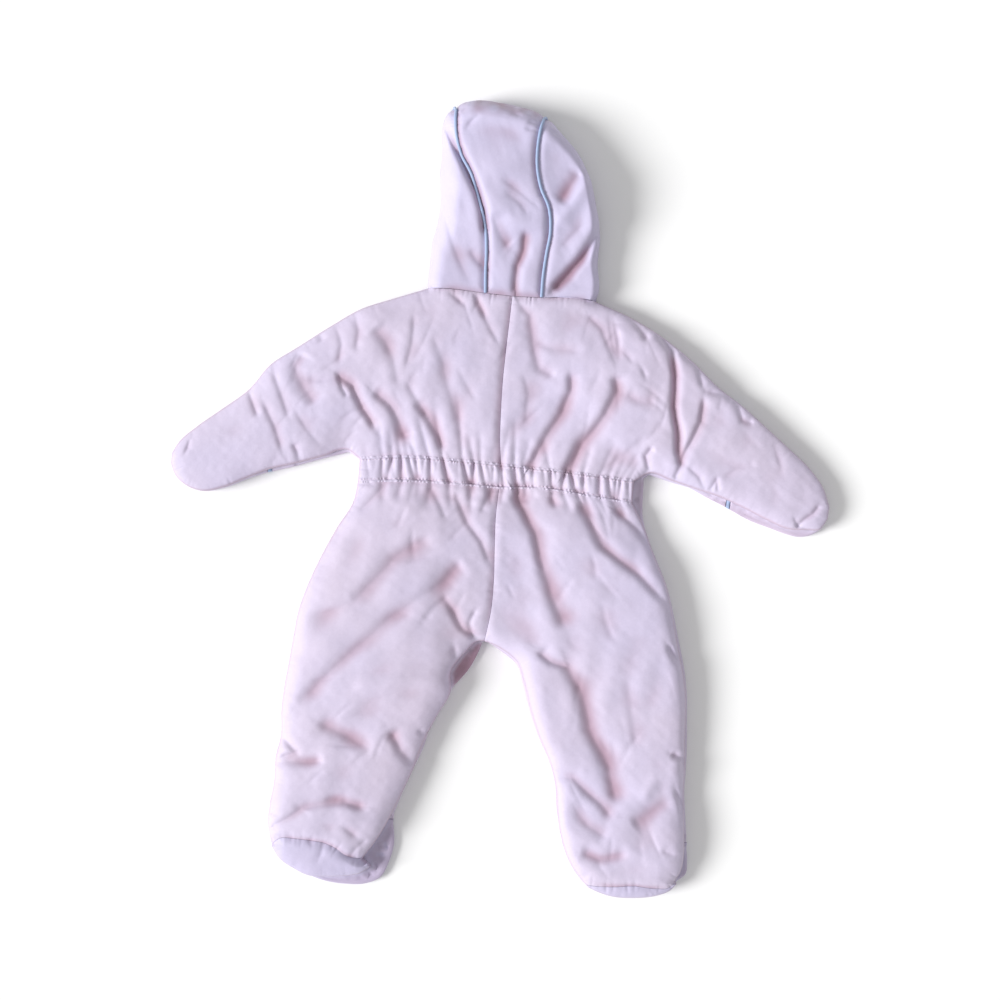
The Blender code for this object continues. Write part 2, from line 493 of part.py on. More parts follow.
# ---------------------------------------------------------------- back panels
def waist_stations(side):
    """Where the grid lines cross the casing: at each gather and half-way between them.

    Each is a pair of fractions along the half casing, on its top and its lower edge.
    """
    sign = -1 if side == "left" else 1
    ends = [abs(edge[side][-1][0]) for edge in (CASING_TOP, CASING_FOOT)]
    pairs = [(abs(x) / ends[0], abs(x + lean) / ends[1])
             for x, lean, *_ in GATHERS if x * sign > 1.5]
    pairs = [(0.0, 0.0)] + sorted(pairs) + [(1.0, 1.0)]
    full = []
    for here, after in zip(pairs[:-1], pairs[1:]):
        wide = (after[0] - here[0]) * ends[0]
        parts = max(2, round(wide / 6.5)) if wide > 5 else 1
        full += [tuple(a + (b - a) * part / parts for a, b in zip(here, after)) for part in range(parts)]
    return np.array(full + [(1.0, 1.0)])


def back_plan(side):
    steps = chain_steps([CASING_TOP[side]])
    waist = waist_stations(side)[:, 0] * steps
    sleeve = np.linspace(steps, steps + 10, BACK_SLEEVE_COLUMNS + 1)[1:]
    stations = np.concatenate([waist, sleeve])
    low = chain_at([CASING_TOP[side], UNDERARM[side]], stations)
    high = chain_at([NECK[side], SHOULDER[side]], stations)
    spread = (1 - np.cos(np.linspace(0, math.pi, BACK_ROWS + 1))) / 2
    middle = curve_at(BACK_SEAM_TOP, spread)
    tip = low[-1] + (high[-1] - low[-1]) * spread[:, None]
    return long_patch(low, high, middle, tip, spread), stations, steps


def long_patch(low, high, start, end, share):
    """Coons patch from the low to the high edge at the given shares of the way."""
    run = np.concatenate([[0], np.cumsum(np.linalg.norm(np.diff(low + high, axis=0), axis=1))])
    s = (run / run[-1])[:, None, None]
    t = np.asarray(share)[None, :, None]
    corners = (1 - s) * ((1 - t) * low[0] + t * high[0]) + s * ((1 - t) * low[-1] + t * high[-1])
    return ((1 - t) * low[:, None] + t * high[:, None] + (1 - s) * start[None] + s * end[None] - corners)


def draw_back(plan, edge, beside, mask=slice(None)):
    """Move part of a patch's edge back from its seam, towards the line beside it."""
    away = plan[beside][mask] - plan[edge][mask]
    plan[edge][mask] += away / np.linalg.norm(away, axis=-1, keepdims=True) * SEAM


def build_back(side, gathers, material, collection):
    plan, stations, steps = back_plan(side)
    draw_back(plan, np.s_[:, 0], np.s_[:, 1], stations <= steps)
    draw_back(plan, np.s_[:, -1], np.s_[:, -2], stations <= steps)
    draw_back(plan, np.s_[0], np.s_[1])
    upper_panel("back_" + side, plan, upper_height(plan, gathers), material, collection)


def build_casing(gathers, material, collection):
    halves = []
    for side in ("left", "right"):
        pairs = waist_stations(side)
        halves.append(np.stack([curve_at(CASING_FOOT[side], pairs[:, 1]),
                                curve_at(CASING_TOP[side], pairs[:, 0])], axis=1))
    ends = np.concatenate([halves[0][::-1], halves[1][1:]])
    share = (1 - np.cos(np.linspace(0, math.pi, CASING_ROWS + 1))) / 2
    plan = ends[:, :1] + (ends[:, 1:] - ends[:, :1]) * share[None, :, None]
    draw_back(plan, np.s_[:, 0], np.s_[:, 1])
    draw_back(plan, np.s_[:, -1], np.s_[:, -2])
    upper_panel("waist_casing", plan, upper_height(plan, gathers), material, collection)


def build_leg(side, gathers, material, collection):
    share = waist_stations(side)[:, 1]
    inner = [BACK_SEAM_SEAT, INNER_LEG[side]]
    stations = np.linspace(0, chain_steps(inner), LEG_ROWS + 1)
    seat = chain_steps(inner[:1])
    plan = long_patch(chain_at(inner, stations), chain_at([OUTER_LEG[side]], stations),
                      curve_at(CASING_FOOT[side], share), curve_at(HEEL[side], share), share)
    draw_back(plan, np.s_[0], np.s_[1])
    draw_back(plan, np.s_[-1], np.s_[-2])
    draw_back(plan, np.s_[:, 0], np.s_[:, 1], stations <= seat)
    upper_panel("leg_back_" + side, plan, upper_height(plan, gathers), material, collection)


def build_sole(side, gathers, material, collection):
    along = waist_stations(side)[:, 1]
    heel, toe = curve_at(HEEL[side], along), curve_at(SOLE[side], along)
    share = (1 - np.cos(np.linspace(0, math.pi, SOLE_ROWS + 1))) / 2
    plan = heel[:, None] + (toe - heel)[:, None] * share[None, :, None]
    draw_back(plan, np.s_[:, 0], np.s_[:, 1])
    upper_panel("sole_" + side, plan, upper_height(plan, gathers), material, collection)


# ---------------------------------------------------------------- front panels
def lower_outline(parts):
    """Join (points, roundness) parts into one outline."""
    points = np.vstack([np.array(part, float) for part, _ in parts])
    roundness = np.concatenate([np.full(len(part), share) for part, share in parts])
    return points, roundness


def edge_y(points, x):
    """Height in the plan of an edge where it passes x; the edge runs outwards along a sleeve."""
    return np.interp(abs(x), np.abs(points[:, 0]), points[:, 1])


def sleeve_edges(side, x):
    """Lower and upper edge of the sleeve's front at x, near the wrist."""
    below = np.array([LOWER_SLEEVE[side][-1], LOWER_HAND[side][0]], float)
    above = curve_at(SHOULDER[side], np.linspace(0, 1, 80))
    return edge_y(below, x), edge_y(above, x) - SHOULDER_INSET


def build_front(side, material, collection):
    sign = -1 if side == "left" else 1
    zip_x, centre_x = sign * (ZIP_HALF + SEAM), sign * SEAM
    wrist_x = sign * (WRIST - BINDING_WIDTH / 2 - SEAM)
    neck_x = sign * np.linspace(ZIP_HALF + SEAM, 76, 8)
    corner = np.array(NECK[side][-1], float)
    shoulder = curve_at(SHOULDER[side], np.linspace(0, 0.5, 16))[1:]
    shoulder = shoulder[np.abs(shoulder[:, 0]) < WRIST - BINDING_WIDTH - 1]
    shoulder[:, 1] -= SHOULDER_INSET
    wrist_foot, wrist_top = sleeve_edges(side, wrist_x)
    sleeve = np.array(LOWER_SLEEVE[side][-2::-1], float)
    side_edge = curve_at(LOWER_SIDE[side], np.linspace(0, 1, 2 * len(LOWER_SIDE[side]) - 1))
    inner = curve_at(LOWER_INNER[side], np.linspace(0, 1, 2 * len(LOWER_INNER[side]) - 1))
    ankle = ANKLE + SEAM
    parts = [
        ([(zip_x, y) for y in np.linspace(ZIP_FOOT + 1, 160, 6)], SEAM_ROUND),
        (np.column_stack([neck_x, neck_y(neck_x) - 2 * SEAM]), SEAM_ROUND),
        ([(corner[0], corner[1] - 2 * SEAM)], SEAM_ROUND),
        (shoulder, 1.0),
        ([(wrist_x, wrist_top), (wrist_x, wrist_foot)], SEAM_ROUND),
        (sleeve, 1.0),
        (side_edge, 1.0),
        ([(side_edge[-1][0], ankle), (inner[0][0], ankle)], SEAM_ROUND),
        (inner, 1.0),
        ([(centre_x, inner[-1][1] + 2), (centre_x, ZIP_FOOT - 3), (zip_x, ZIP_FOOT - 1)], SEAM_ROUND),
    ]
    lower_panel("front_" + side, *lower_outline(parts), material, collection)


def build_hand(side, shell, piping, collection):
    sign = -1 if side == "left" else 1
    hand = curve_at(LOWER_HAND[side], np.linspace(0, 1, 2 * len(LOWER_HAND[side]) - 1))
    mitten_x = sign * (WRIST + BINDING_WIDTH / 2 + SEAM)
    low, high = sleeve_edges(side, mitten_x)
    parts = [([(mitten_x, high), (mitten_x, low)], SEAM_ROUND), (hand[1:], 1.0)]
    lower_panel("mitten_front_" + side, *lower_outline(parts), shell, collection)
    outline = []
    for x, ends in ((WRIST - BINDING_WIDTH / 2 + SEAM, (0, 1)), (WRIST + BINDING_WIDTH / 2 - SEAM, (1, 0))):
        edges = sleeve_edges(side, x)
        outline += [(sign * x, edges[end]) for end in ends]
    lower_panel("mitten_binding_" + side, np.array(outline), np.full(4, SEAM_ROUND), piping, collection)


def build_foot(side, material, collection):
    foot = curve_at(LOWER_FOOT[side], np.linspace(0, 1, 2 * len(LOWER_FOOT[side]) - 1))
    ankle = ANKLE - SEAM
    parts = [([(foot[-1][0], ankle), (foot[0][0], ankle)], SEAM_ROUND), (foot, 1.0)]
    lower_panel("foot_upper_" + side, *lower_outline(parts), material, collection)


# ---------------------------------------------------------------- hood
def hood_outline():
    fine = np.linspace(0, 1, 50)
    return np.vstack([curve_at(HOOD_WIDEST["left"], fine), curve_at(CROWN_EDGE, fine),
                      curve_at(HOOD_WIDEST["right"], fine)[::-1]])


def hood_height(plan):
    """Height of the hood's smooth outer face over plan points."""
    points = plan.reshape(-1, 2)
    roll = np.interp(points[:, 1], (180, 235), (HOOD_ROLL_NECK, HOOD_ROLL_CROWN))
    height = LAYER + rounded(distance_to(points, hood_outline()) / roll) * loft(points)
    return height.reshape(plan.shape[:-1])


def under_height(plan, widest):
    """Height of the hood's outer face where it turns under, from its widest line."""
    gap = np.linalg.norm(plan - widest, axis=-1)
    return LAYER * (1 - rounded(gap / HOOD_UNDER_ROLL))


def hood_side_surface(side, s, t):
    """Smooth outer face of a side: from the piping over the widest line to the hem."""
    pipe, wide, hem = (curve_at(table[side], s)[:, None] for table in (PIPING, HOOD_WIDEST, FACE_HEM))
    above = np.sin(np.clip(t / HOOD_SIDE_TOP, 0, 1) * math.pi / 2)[None, :, None]
    below = 1 - np.cos(np.clip((t - HOOD_SIDE_TOP) / (1 - HOOD_SIDE_TOP), 0, 1) * math.pi / 2)
    plan = pipe + (wide - pipe) * above + (hem - wide) * below[None, :, None]
    level = np.where(t[None] <= HOOD_SIDE_TOP, hood_height(plan), under_height(plan, wide))
    return np.dstack([plan, level])


def hood_seam(side, stations):
    """The piping's line in the plan, on to the crown's edge as one more step."""
    return chain_at([PIPING[side], (PIPING[side][-1], HOOD_WIDEST[side][-1])], stations)


def hood_centre_surface(s, t):
    """Smooth outer face of the centre strip: neck, crown, then under to the brow hem."""
    full = len(PIPING["left"])
    q = np.clip(s / HOOD_CENTRE_TOP, 0, 1) * full
    left, right = (hood_seam(side, q)[:, None] for side in ("left", "right"))
    across = t[None, :, None]
    crown = curve_at(CROWN_EDGE, t)
    first, last = np.array(CROWN_EDGE[0]), np.array(CROWN_EDGE[-1])
    chord = first + (last - first) * t[:, None]
    bow = (crown - chord)[None] * (q / full)[:, None, None] ** 4
    below = 1 - np.cos(np.clip((s - HOOD_CENTRE_TOP) / (1 - HOOD_CENTRE_TOP), 0, 1) * math.pi / 2)
    brow = (curve_at(BROW_HEM, t) - crown)[None] * below[:, None, None]
    plan = left + (right - left) * across + bow + brow
    level = np.where(s[:, None] <= HOOD_CENTRE_TOP, hood_height(plan), under_height(plan, crown[None]))
    return np.dstack([plan, level])


def outward(surface, s, t, up):
    """Unit normals of a surface by small steps; up is the sign that points outward."""
    step = 0.004
    s0, s1 = np.clip(s - step, 0, 1), np.clip(s + step, 0, 1)
    t0, t1 = np.clip(t - step, 0, 1), np.clip(t + step, 0, 1)
    normal = np.cross(surface(s1, t) - surface(s0, t), surface(s, t1) - surface(s, t0))
    return up * normal / np.linalg.norm(normal, axis=-1, keepdims=True)


def hood_relief(faces, turned_under):
    """Folds (straight down) and seam dips (inward) on the hood, at surface points."""
    points = faces[..., :2].reshape(-1, 2)
    top_lines = [hood_seam(side, np.linspace(0, 10, 60)) for side in ("left", "right")]
    low_lines = [np.array([HOOD_WIDEST[side][-1], FACE_HEM[side][-1]], float) for side in ("left", "right")]
    under = np.broadcast_to(turned_under, faces.shape[:-1]).reshape(-1)
    above = np.min([distance_to(points, line) for line in top_lines], axis=0)
    below = np.min([distance_to(points, line) for line in low_lines], axis=0)
    dip = (np.where(under, PIPING_UNDER_DIP, PIPING_DIP)
           * np.exp(-(np.where(under, below, above) / SEAM_DIP_WIDTH) ** 2))
    neck = np.abs(points[:, 1] - neck_y(points[:, 0]))
    dip = np.maximum(dip, SEAM_DIP * np.exp(-(neck / SEAM_DIP_WIDTH) ** 2))
    edge = rounded(distance_to(points, hood_outline()) / ROLL)
    fold = np.where(under, 0.0, fold_heights(points, FOLDS) * edge)
    return fold.reshape(faces.shape[:-1]), dip.reshape(faces.shape[:-1])


def hood_wall(surface, s, t, up, under, inset_s, inset_t):
    """Outer and inner faces of a hood panel; under tells which points face down."""
    smooth, normal = surface(s, t), outward(surface, s, t, up)
    fold, dip = hood_relief(smooth, under(s, t))
    outer = smooth - normal * dip[..., None]
    outer[..., 2] += fold
    s_in = np.clip(s, inset_s[0], 1 - inset_s[1])
    t_in = np.clip(t, inset_t[0], 1 - inset_t[1])
    back, back_normal = surface(s_in, t_in), outward(surface, s_in, t_in, up)
    fold, dip = hood_relief(back, under(s_in, t_in))
    inner = back - back_normal * (dip + HOOD_WALL)[..., None]
    inner[..., 2] += np.minimum(fold, 0)
    return outer, inner


def hood_stations():
    """Rows and columns of the hood panels; the centre has a row wherever a side's seam has a point."""
    rows = np.linspace(0, 1, HOOD_ROWS + 1)
    columns = np.concatenate([[0, 0.05], np.linspace(0, 1, HOOD_SIDE_COLUMNS + 1)[1:] * HOOD_SIDE_TOP,
                              HOOD_SIDE_TOP + HOOD_TURN * (1 - HOOD_SIDE_TOP)])
    steps = len(PIPING["left"])
    crown = np.sin(columns[1:HOOD_SIDE_COLUMNS + 2] / HOOD_SIDE_TOP * math.pi / 2)
    crown[-1] = 1
    centre = np.concatenate([rows * (steps - 1), steps - 1 + crown]) / steps * HOOD_CENTRE_TOP
    centre = np.concatenate([centre, HOOD_CENTRE_TOP + HOOD_TURN * (1 - HOOD_CENTRE_TOP)])
    return rows, columns, centre


def hood_seam_line(side):
    """The seam between the centre and a side: points, normals, and the way to the side panel."""
    rows, columns, centre = hood_stations()
    up, edge = (1, 0.0) if side == "left" else (-1, 1.0)

    def surface(s, t):
        return hood_side_surface(side, s, t)

    first, last = np.array([0.0]), np.array([1.0])
    smooth = np.vstack([surface(rows, first)[:, 0], surface(last, columns[1:])[0]])
    normal = np.vstack([outward(surface, rows, first, up)[:, 0],
                        outward(surface, last, columns[1:], up)[0]])
    normal += outward(hood_centre_surface, centre, np.array([edge]), -1)[:, 0]
    normal /= np.linalg.norm(normal, axis=1, keepdims=True)
    fold, dip = hood_relief(smooth[None], (np.arange(len(smooth)) > len(smooth) - 1 - len(HOOD_TURN))[None])
    line = smooth - normal * dip[0][:, None]
    line[:, 2] += fold[0]
    across = -up * np.cross(np.gradient(line, axis=0), normal)
    return line, normal, across / np.linalg.norm(across, axis=1, keepdims=True)


def seam_edge(line, normal, across, way):
    """Outer and inner edge of the panel on one side of a hood seam."""
    outer = line + across * way * SEAM
    inner = line - normal * HOOD_WALL + across * way * 3 * SEAM
    return outer, inner


def build_hood(material, collection):
    rows, columns, centre = hood_stations()
    along = np.concatenate([[0, 0.06], np.linspace(0, 1, HOOD_CENTRE_COLUMNS + 1)[1:-1], [0.94, 1]])
    middle = hood_wall(hood_centre_surface, centre, along, -1,
                       lambda s, t: (s > HOOD_CENTRE_TOP)[:, None], (0.006, 0), (0.02, 0.02))
    for side, up in (("left", 1), ("right", -1)):
        seam = hood_seam_line(side)
        for wall, edge in zip(middle, seam_edge(*seam, -1)):
            wall[:, 0 if side == "left" else -1] = edge

        def surface(s, t, side=side):
            return hood_side_surface(side, s, t)

        walls = hood_wall(surface, rows, columns, up,
                          lambda s, t: (t > HOOD_SIDE_TOP)[None, :], (0.008, 0.03), (0.01, 0))
        for wall, edge in zip(walls, seam_edge(*seam, 1)):
            wall[:, 0] = edge[:len(rows)]
            wall[-1] = edge[len(rows) - 1:]
        close_neck(*walls)
        shell_panel("hood_side_" + side, *walls, material, collection)
    close_neck(*middle)
    shell_panel("hood_centre", *middle, material, collection)


def close_neck(outer, inner):
    """Bring the first row of a hood panel to the neck seam."""
    outer[0, :, 1] = neck_y(outer[0, :, 0]) + SEAM
    inner[0, :, 1] = np.maximum(inner[0, :, 1], neck_y(inner[0, :, 0]) + SEAM)


def build_piping(side, material, collection):
    """A cord in the groove of a hood seam, over the crown and under to the hem."""
    line, normal, _ = hood_seam_line(side)
    points = line + normal * (PIPING_RADIUS + PIPING_SEAT)
    points[0, 1] = neck_y(points[0, 0]) + 2 * SEAM
    points[-1] += (points[-2] - points[-1]) * 0.02
    cord = bpy.data.curves.new("hood_piping_" + side, "CURVE")
    cord.dimensions = "3D"
    cord.bevel_depth = PIPING_RADIUS * MM
    cord.bevel_resolution = 1
    cord.use_fill_caps = True
    path = cord.splines.new("POLY")
    path.points.add(len(points) - 1)
    for point, place in zip(path.points, to_world(points)):
        point.co = (*place, 1)
    cord.materials.append(material)
    collection.objects.link(bpy.data.objects.new("hood_piping_" + side, cord))


# ---------------------------------------------------------------- zip
def prism(name, section, y1, y2, material, collection):
    """A section in x and z, drawn out along y."""
    solid = bmesh.new()
    places = to_world([(x, y1, z) for x, z in section])
    face = solid.faces.new([solid.verts.new(place) for place in places])
    grown = bmesh.ops.extrude_face_region(solid, geom=[face])["geom"]
    bmesh.ops.translate(solid, verts=[v for v in grown if isinstance(v, bmesh.types.BMVert)],
                        vec=(0, (y2 - y1) * MM, 0))
    return finish(name, solid, material, collection)


def build_zip(tape, metal, collection, cutters):
    half = ZIP_HALF - SEAM
    section = [(-half, 6.0), (-2.5, 6.0), (-2.5, 4.6), (2.5, 4.6), (2.5, 6.0), (half, 6.0),
               (half, 7.4), (-half, 7.4)]
    prism("zip_tape", section, ZIP_FOOT, ZIP_HEAD, tape, collection)

    plate = [(-3.8, 3.5), (3.8, 3.5), (3.8, 5.7), (2.9, 5.7), (2.9, 4.3), (-2.9, 4.3),
             (-2.9, 5.7), (-3.8, 5.7)]
    slider = prism("zip_slider", plate, PIN_Y - 3, PIN_Y + 7, metal, collection)
    adds = []
    for sign in (-1, 1):
        ear = [(sign * 2.3, 0.9), (sign * 3.1, 0.9), (sign * 3.1, 3.7), (sign * 2.3, 3.7)]
        adds.append(prism("ear", ear, PIN_Y - 1.3, PIN_Y + 1.3, metal, cutters))
    bpy.ops.mesh.primitive_cylinder_add(vertices=12, radius=PIN_RADIUS * MM, depth=5.4 * MM,
                                        location=to_world([0, PIN_Y, PIN_Z]),
                                        rotation=(0, math.pi / 2, 0))
    pin = bpy.context.object
    for owner in list(pin.users_collection):
        owner.objects.unlink(pin)
    cutters.objects.link(pin)
    for number, part in enumerate(adds + [pin]):
        part.hide_render = True
        part.display_type = "WIRE"
        join = slider.modifiers.new("join%d" % number, "BOOLEAN")
        join.operation = "UNION"
        join.object = part

    outline = bpy.data.curves.new("zip_pull", "CURVE")
    outline.dimensions = "2D"
    outline.fill_mode = "BOTH"
    outline.extrude = PULL_HALF * MM
    eye = [math.radians(a) for a in range(-150, 151, 20)]
    outer = [(EYE_OUTER * math.cos(a), EYE_OUTER * math.sin(a)) for a in eye]
    outer += [(-PULL_LENGTH, PULL_THICK / 2), (-PULL_LENGTH - 0.6, 0), (-PULL_LENGTH, -PULL_THICK / 2)]
    hole = [(EYE_INNER * math.cos(a), EYE_INNER * math.sin(a))
            for a in (math.radians(-30 * k) for k in range(12))]
    for ring in (outer, hole):
        line = outline.splines.new("POLY")
        line.points.add(len(ring) - 1)
        line.use_cyclic_u = True
        for point, (along, height) in zip(line.points, ring):
            point.co = (along * MM, height * MM, 0, 1)
    outline.materials.append(metal)
    pull = bpy.data.objects.new("zip_pull", outline)
    pull.location = to_world([0, PIN_Y, PIN_Z])
    pull.rotation_euler = (math.pi / 2, 0, math.pi / 2)
    collection.objects.link(pull)


# ---------------------------------------------------------------- the suit
def plain_material(name):
    red, green, blue, rough = CLOTH[name]
    material = bpy.data.materials.new("snowsuit_" + name)
    material.use_nodes = True
    shader = material.node_tree.nodes["Principled BSDF"]
    shader.inputs["Base Color"].default_value = (red, green, blue, 1)
    shader.inputs["Roughness"].default_value = rough
    shader.inputs["Metallic"].default_value = 1.0 if name == "metal" else 0.0
    return material


def main():
    for old in list(bpy.data.objects):
        bpy.data.objects.remove(old, do_unlink=True)
    suit = bpy.data.collections.new("baby_snowsuit")
    cutters = bpy.data.collections.new("cutters")
    for group in (suit, cutters):
        bpy.context.scene.collection.children.link(group)
    shell, piping, metal, tape = (plain_material(name) for name in ("shell", "piping", "metal", "tape"))
    casing_gathers, body_gathers = gather_rows()
    for side in ("left", "right"):
        build_back(side, body_gathers, shell, suit)
        build_leg(side, body_gathers, shell, suit)
        build_sole(side, [], shell, suit)
        build_front(side, shell, suit)
        build_hand(side, shell, piping, suit)
        build_foot(side, shell, suit)
        build_piping(side, piping, suit)
    build_casing(casing_gathers, shell, suit)
    build_hood(shell, suit)
    build_zip(tape, metal, suit, cutters)


main()
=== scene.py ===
import math
import bmesh
import bpy
import numpy as np
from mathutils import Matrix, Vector
from mathutils.geometry import delaunay_2d_cdt
from mathutils.kdtree import KDTree


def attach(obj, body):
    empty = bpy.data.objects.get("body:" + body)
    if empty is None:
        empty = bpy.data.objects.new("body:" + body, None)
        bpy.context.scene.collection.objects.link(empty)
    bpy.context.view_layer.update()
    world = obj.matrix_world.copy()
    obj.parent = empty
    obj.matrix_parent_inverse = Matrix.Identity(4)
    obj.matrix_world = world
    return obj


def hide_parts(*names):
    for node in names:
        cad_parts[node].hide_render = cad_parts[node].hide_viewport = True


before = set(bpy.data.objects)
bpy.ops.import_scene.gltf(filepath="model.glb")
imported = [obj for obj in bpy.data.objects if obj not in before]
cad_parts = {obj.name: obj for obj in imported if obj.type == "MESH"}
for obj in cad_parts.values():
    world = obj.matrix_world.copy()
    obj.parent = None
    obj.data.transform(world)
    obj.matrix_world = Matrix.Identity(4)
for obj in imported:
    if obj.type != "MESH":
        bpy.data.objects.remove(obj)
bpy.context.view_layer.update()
bpy.ops.object.select_all(action="DESELECT")
print("frame loaded:", len(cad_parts), "nodes")

# the plan tables are in millimetres from the middle of the back waist, heights from the surface
# that the suit lies on; the hood is at +y
mm = 0.001
planCentre = (1.0, -25.035)
layer = 11.0        # the front and back panels meet at this height
layerGap = 0.15     # each layer stands back from it by this
seamGap = 0.15      # each side of a seam stands back by this

# camera, floor and light
camera = {"focal": 70.0, "aim": (0.00099, 0.000115), "turn": 4.57, "level": 0.012}
lens = bpy.data.cameras.new("camera")
lens.lens = camera["focal"]
lens.sensor_width = 36.0
lens.clip_end = 20.0
eye = bpy.data.objects.new("camera", lens)
eye.location = (*camera["aim"], camera["focal"] / 36.0 + camera["level"])
eye.rotation_euler = (0, 0, math.radians(camera["turn"]))
bpy.context.scene.collection.objects.link(eye)
bpy.context.scene.camera = eye
bpy.context.scene.view_settings.view_transform = "Standard"

studio = {"key": 3.75, "keyHeight": 31.0, "keyFrom": 196.0, "keySoft": 26.0, "sky": 0.55, "floor": 0.9}


def setInputs(node, **values):
    for name, value in values.items():
        node.inputs[name.replace("_", " ")].default_value = value


def newFinish(name):
    finish = bpy.data.materials.new(name)
    finish.use_nodes = True
    return finish, finish.node_tree, finish.node_tree.nodes["Principled BSDF"]


def aimSun(name, strength, height, heading, soft):
    # heading is the compass side that the light comes from, counted from +x towards +y
    sun = bpy.data.lights.new(name, "SUN")
    sun.energy = strength
    sun.angle = math.radians(soft)
    lamp = bpy.data.objects.new(name, sun)
    rise, side = math.radians(height), math.radians(heading)
    towards = Vector((math.cos(rise) * math.cos(side), math.cos(rise) * math.sin(side), math.sin(rise)))
    lamp.rotation_euler = towards.to_track_quat("Z", "Y").to_euler()
    bpy.context.scene.collection.objects.link(lamp)


aimSun("key", studio["key"], studio["keyHeight"], studio["keyFrom"], studio["keySoft"])
sky = bpy.data.worlds.new("studio")
sky.use_nodes = True
setInputs(sky.node_tree.nodes["Background"], Color=(1, 1, 1, 1), Strength=studio["sky"])
bpy.context.scene.world = sky

bpy.ops.mesh.primitive_plane_add(size=12, location=(0, 0, -0.0002))
floor = bpy.context.object
floor.name = "studio_floor"
bpy.ops.object.transform_apply(location=True)
floorFinish, _, floorShader = newFinish("matt floor")
setInputs(floorShader, Base_Color=(*[studio["floor"]] * 3, 1), Roughness=0.95, Specular_IOR_Level=0.1)
floor.data.materials.append(floorFinish)
bpy.ops.object.select_all(action="DESELECT")
print("camera, floor and light are set")


def addNode(tree, kind, **values):
    node = tree.nodes.new(kind)
    for name, value in values.items():
        if name.startswith("in_"):
            spot = name[3:]
            node.inputs[int(spot) if spot.isdigit() else spot.replace("_", " ")].default_value = value
        else:
            setattr(node, name, value)
    return node


def mathNode(tree, operation, first, second):
    node = addNode(tree, "ShaderNodeMath", operation=operation)
    for place, value in enumerate((first, second)):
        if isinstance(value, (int, float)):
            node.inputs[place].default_value = value
        else:
            tree.links.new(value, node.inputs[place])
    return node.outputs[0]


def mixColours(tree, share, first, second, blend="MIX"):
    node = addNode(tree, "ShaderNodeMix", data_type="RGBA", blend_type=blend)
    for place, value in ((0, share), (6, first), (7, second)):
        if isinstance(value, (int, float)):
            node.inputs[place].default_value = value
        elif isinstance(value, tuple):
            node.inputs[place].default_value = (*value, 1)
        else:
            tree.links.new(value, node.inputs[place])
    return node.outputs[2]


def spread(tree, value, low, high):
    node = addNode(tree, "ShaderNodeMapRange", in_1=low, in_2=high)
    tree.links.new(value, node.inputs[0])
    return node.outputs[0]


# a woven cloth: threads from the piece's own UV map, in metres, and tone from its place; "fold" is
# the piece's painted shade, how strongly it is darkened towards foldShadeColour in hollows and at edges
def makeCloth(name, colour, foldShadeColour, tone, thread, rough, sheen, weave=0.35):
    cloth, tree, shader = newFinish(name)
    place = addNode(tree, "ShaderNodeTexCoord")
    cut = addNode(tree, "ShaderNodeUVMap", uv_map="cut")
    fold = addNode(tree, "ShaderNodeAttribute", attribute_name="fold", attribute_type="GEOMETRY")
    blotch = addNode(tree, "ShaderNodeTexNoise", in_Scale=9.0, in_Detail=3.0, in_Roughness=0.55)
    tree.links.new(place.outputs["Object"], blotch.inputs["Vector"])
    speckle = addNode(tree, "ShaderNodeTexNoise", in_Scale=420.0, in_Detail=2.0)
    tree.links.new(cut.outputs["UV"], speckle.inputs["Vector"])
    threads = []
    for way in ("X", "Y"):
        band = addNode(tree, "ShaderNodeTexWave", wave_type="BANDS", bands_direction=way,
                       in_Scale=0.314 / thread, in_Distortion=0.6, in_Detail=1.0, in_Detail_Scale=2.0)
        tree.links.new(cut.outputs["UV"], band.inputs["Vector"])
        threads.append(band.outputs["Fac"])
    woven = mathNode(tree, "MULTIPLY", threads[0], threads[1])
    cool = mixColours(tree, spread(tree, blotch.outputs["Fac"], 0.3, 0.7), colour, tone)
    fine = mixColours(tree, spread(tree, speckle.outputs["Fac"], 0.2, 0.9), (0.94,) * 3, (1.0,) * 3)
    base = mixColours(tree, 1.0, cool, fine, "MULTIPLY")
    # painted shade: the colour is darkened towards a deep mauve where the fold attribute is high, in
    # creases, hollows and at edges
    base = mixColours(tree, fold.outputs["Fac"], base, foldShadeColour)
    base = mixColours(tree, mathNode(tree, "MULTIPLY", woven, 0.08), base, (1.0, 0.98, 1.0))
    tree.links.new(base, shader.inputs["Base Color"])
    relief = mathNode(tree, "ADD", woven, mathNode(tree, "MULTIPLY", speckle.outputs["Fac"], 1.4))
    bump = addNode(tree, "ShaderNodeBump", in_Strength=weave, in_Distance=0.0002)
    tree.links.new(relief, bump.inputs["Height"])
    tree.links.new(bump.outputs["Normal"], shader.inputs["Normal"])
    setInputs(shader, Sheen_Weight=sheen, Sheen_Roughness=0.5, Specular_IOR_Level=0.35, Roughness=rough)
    return cloth


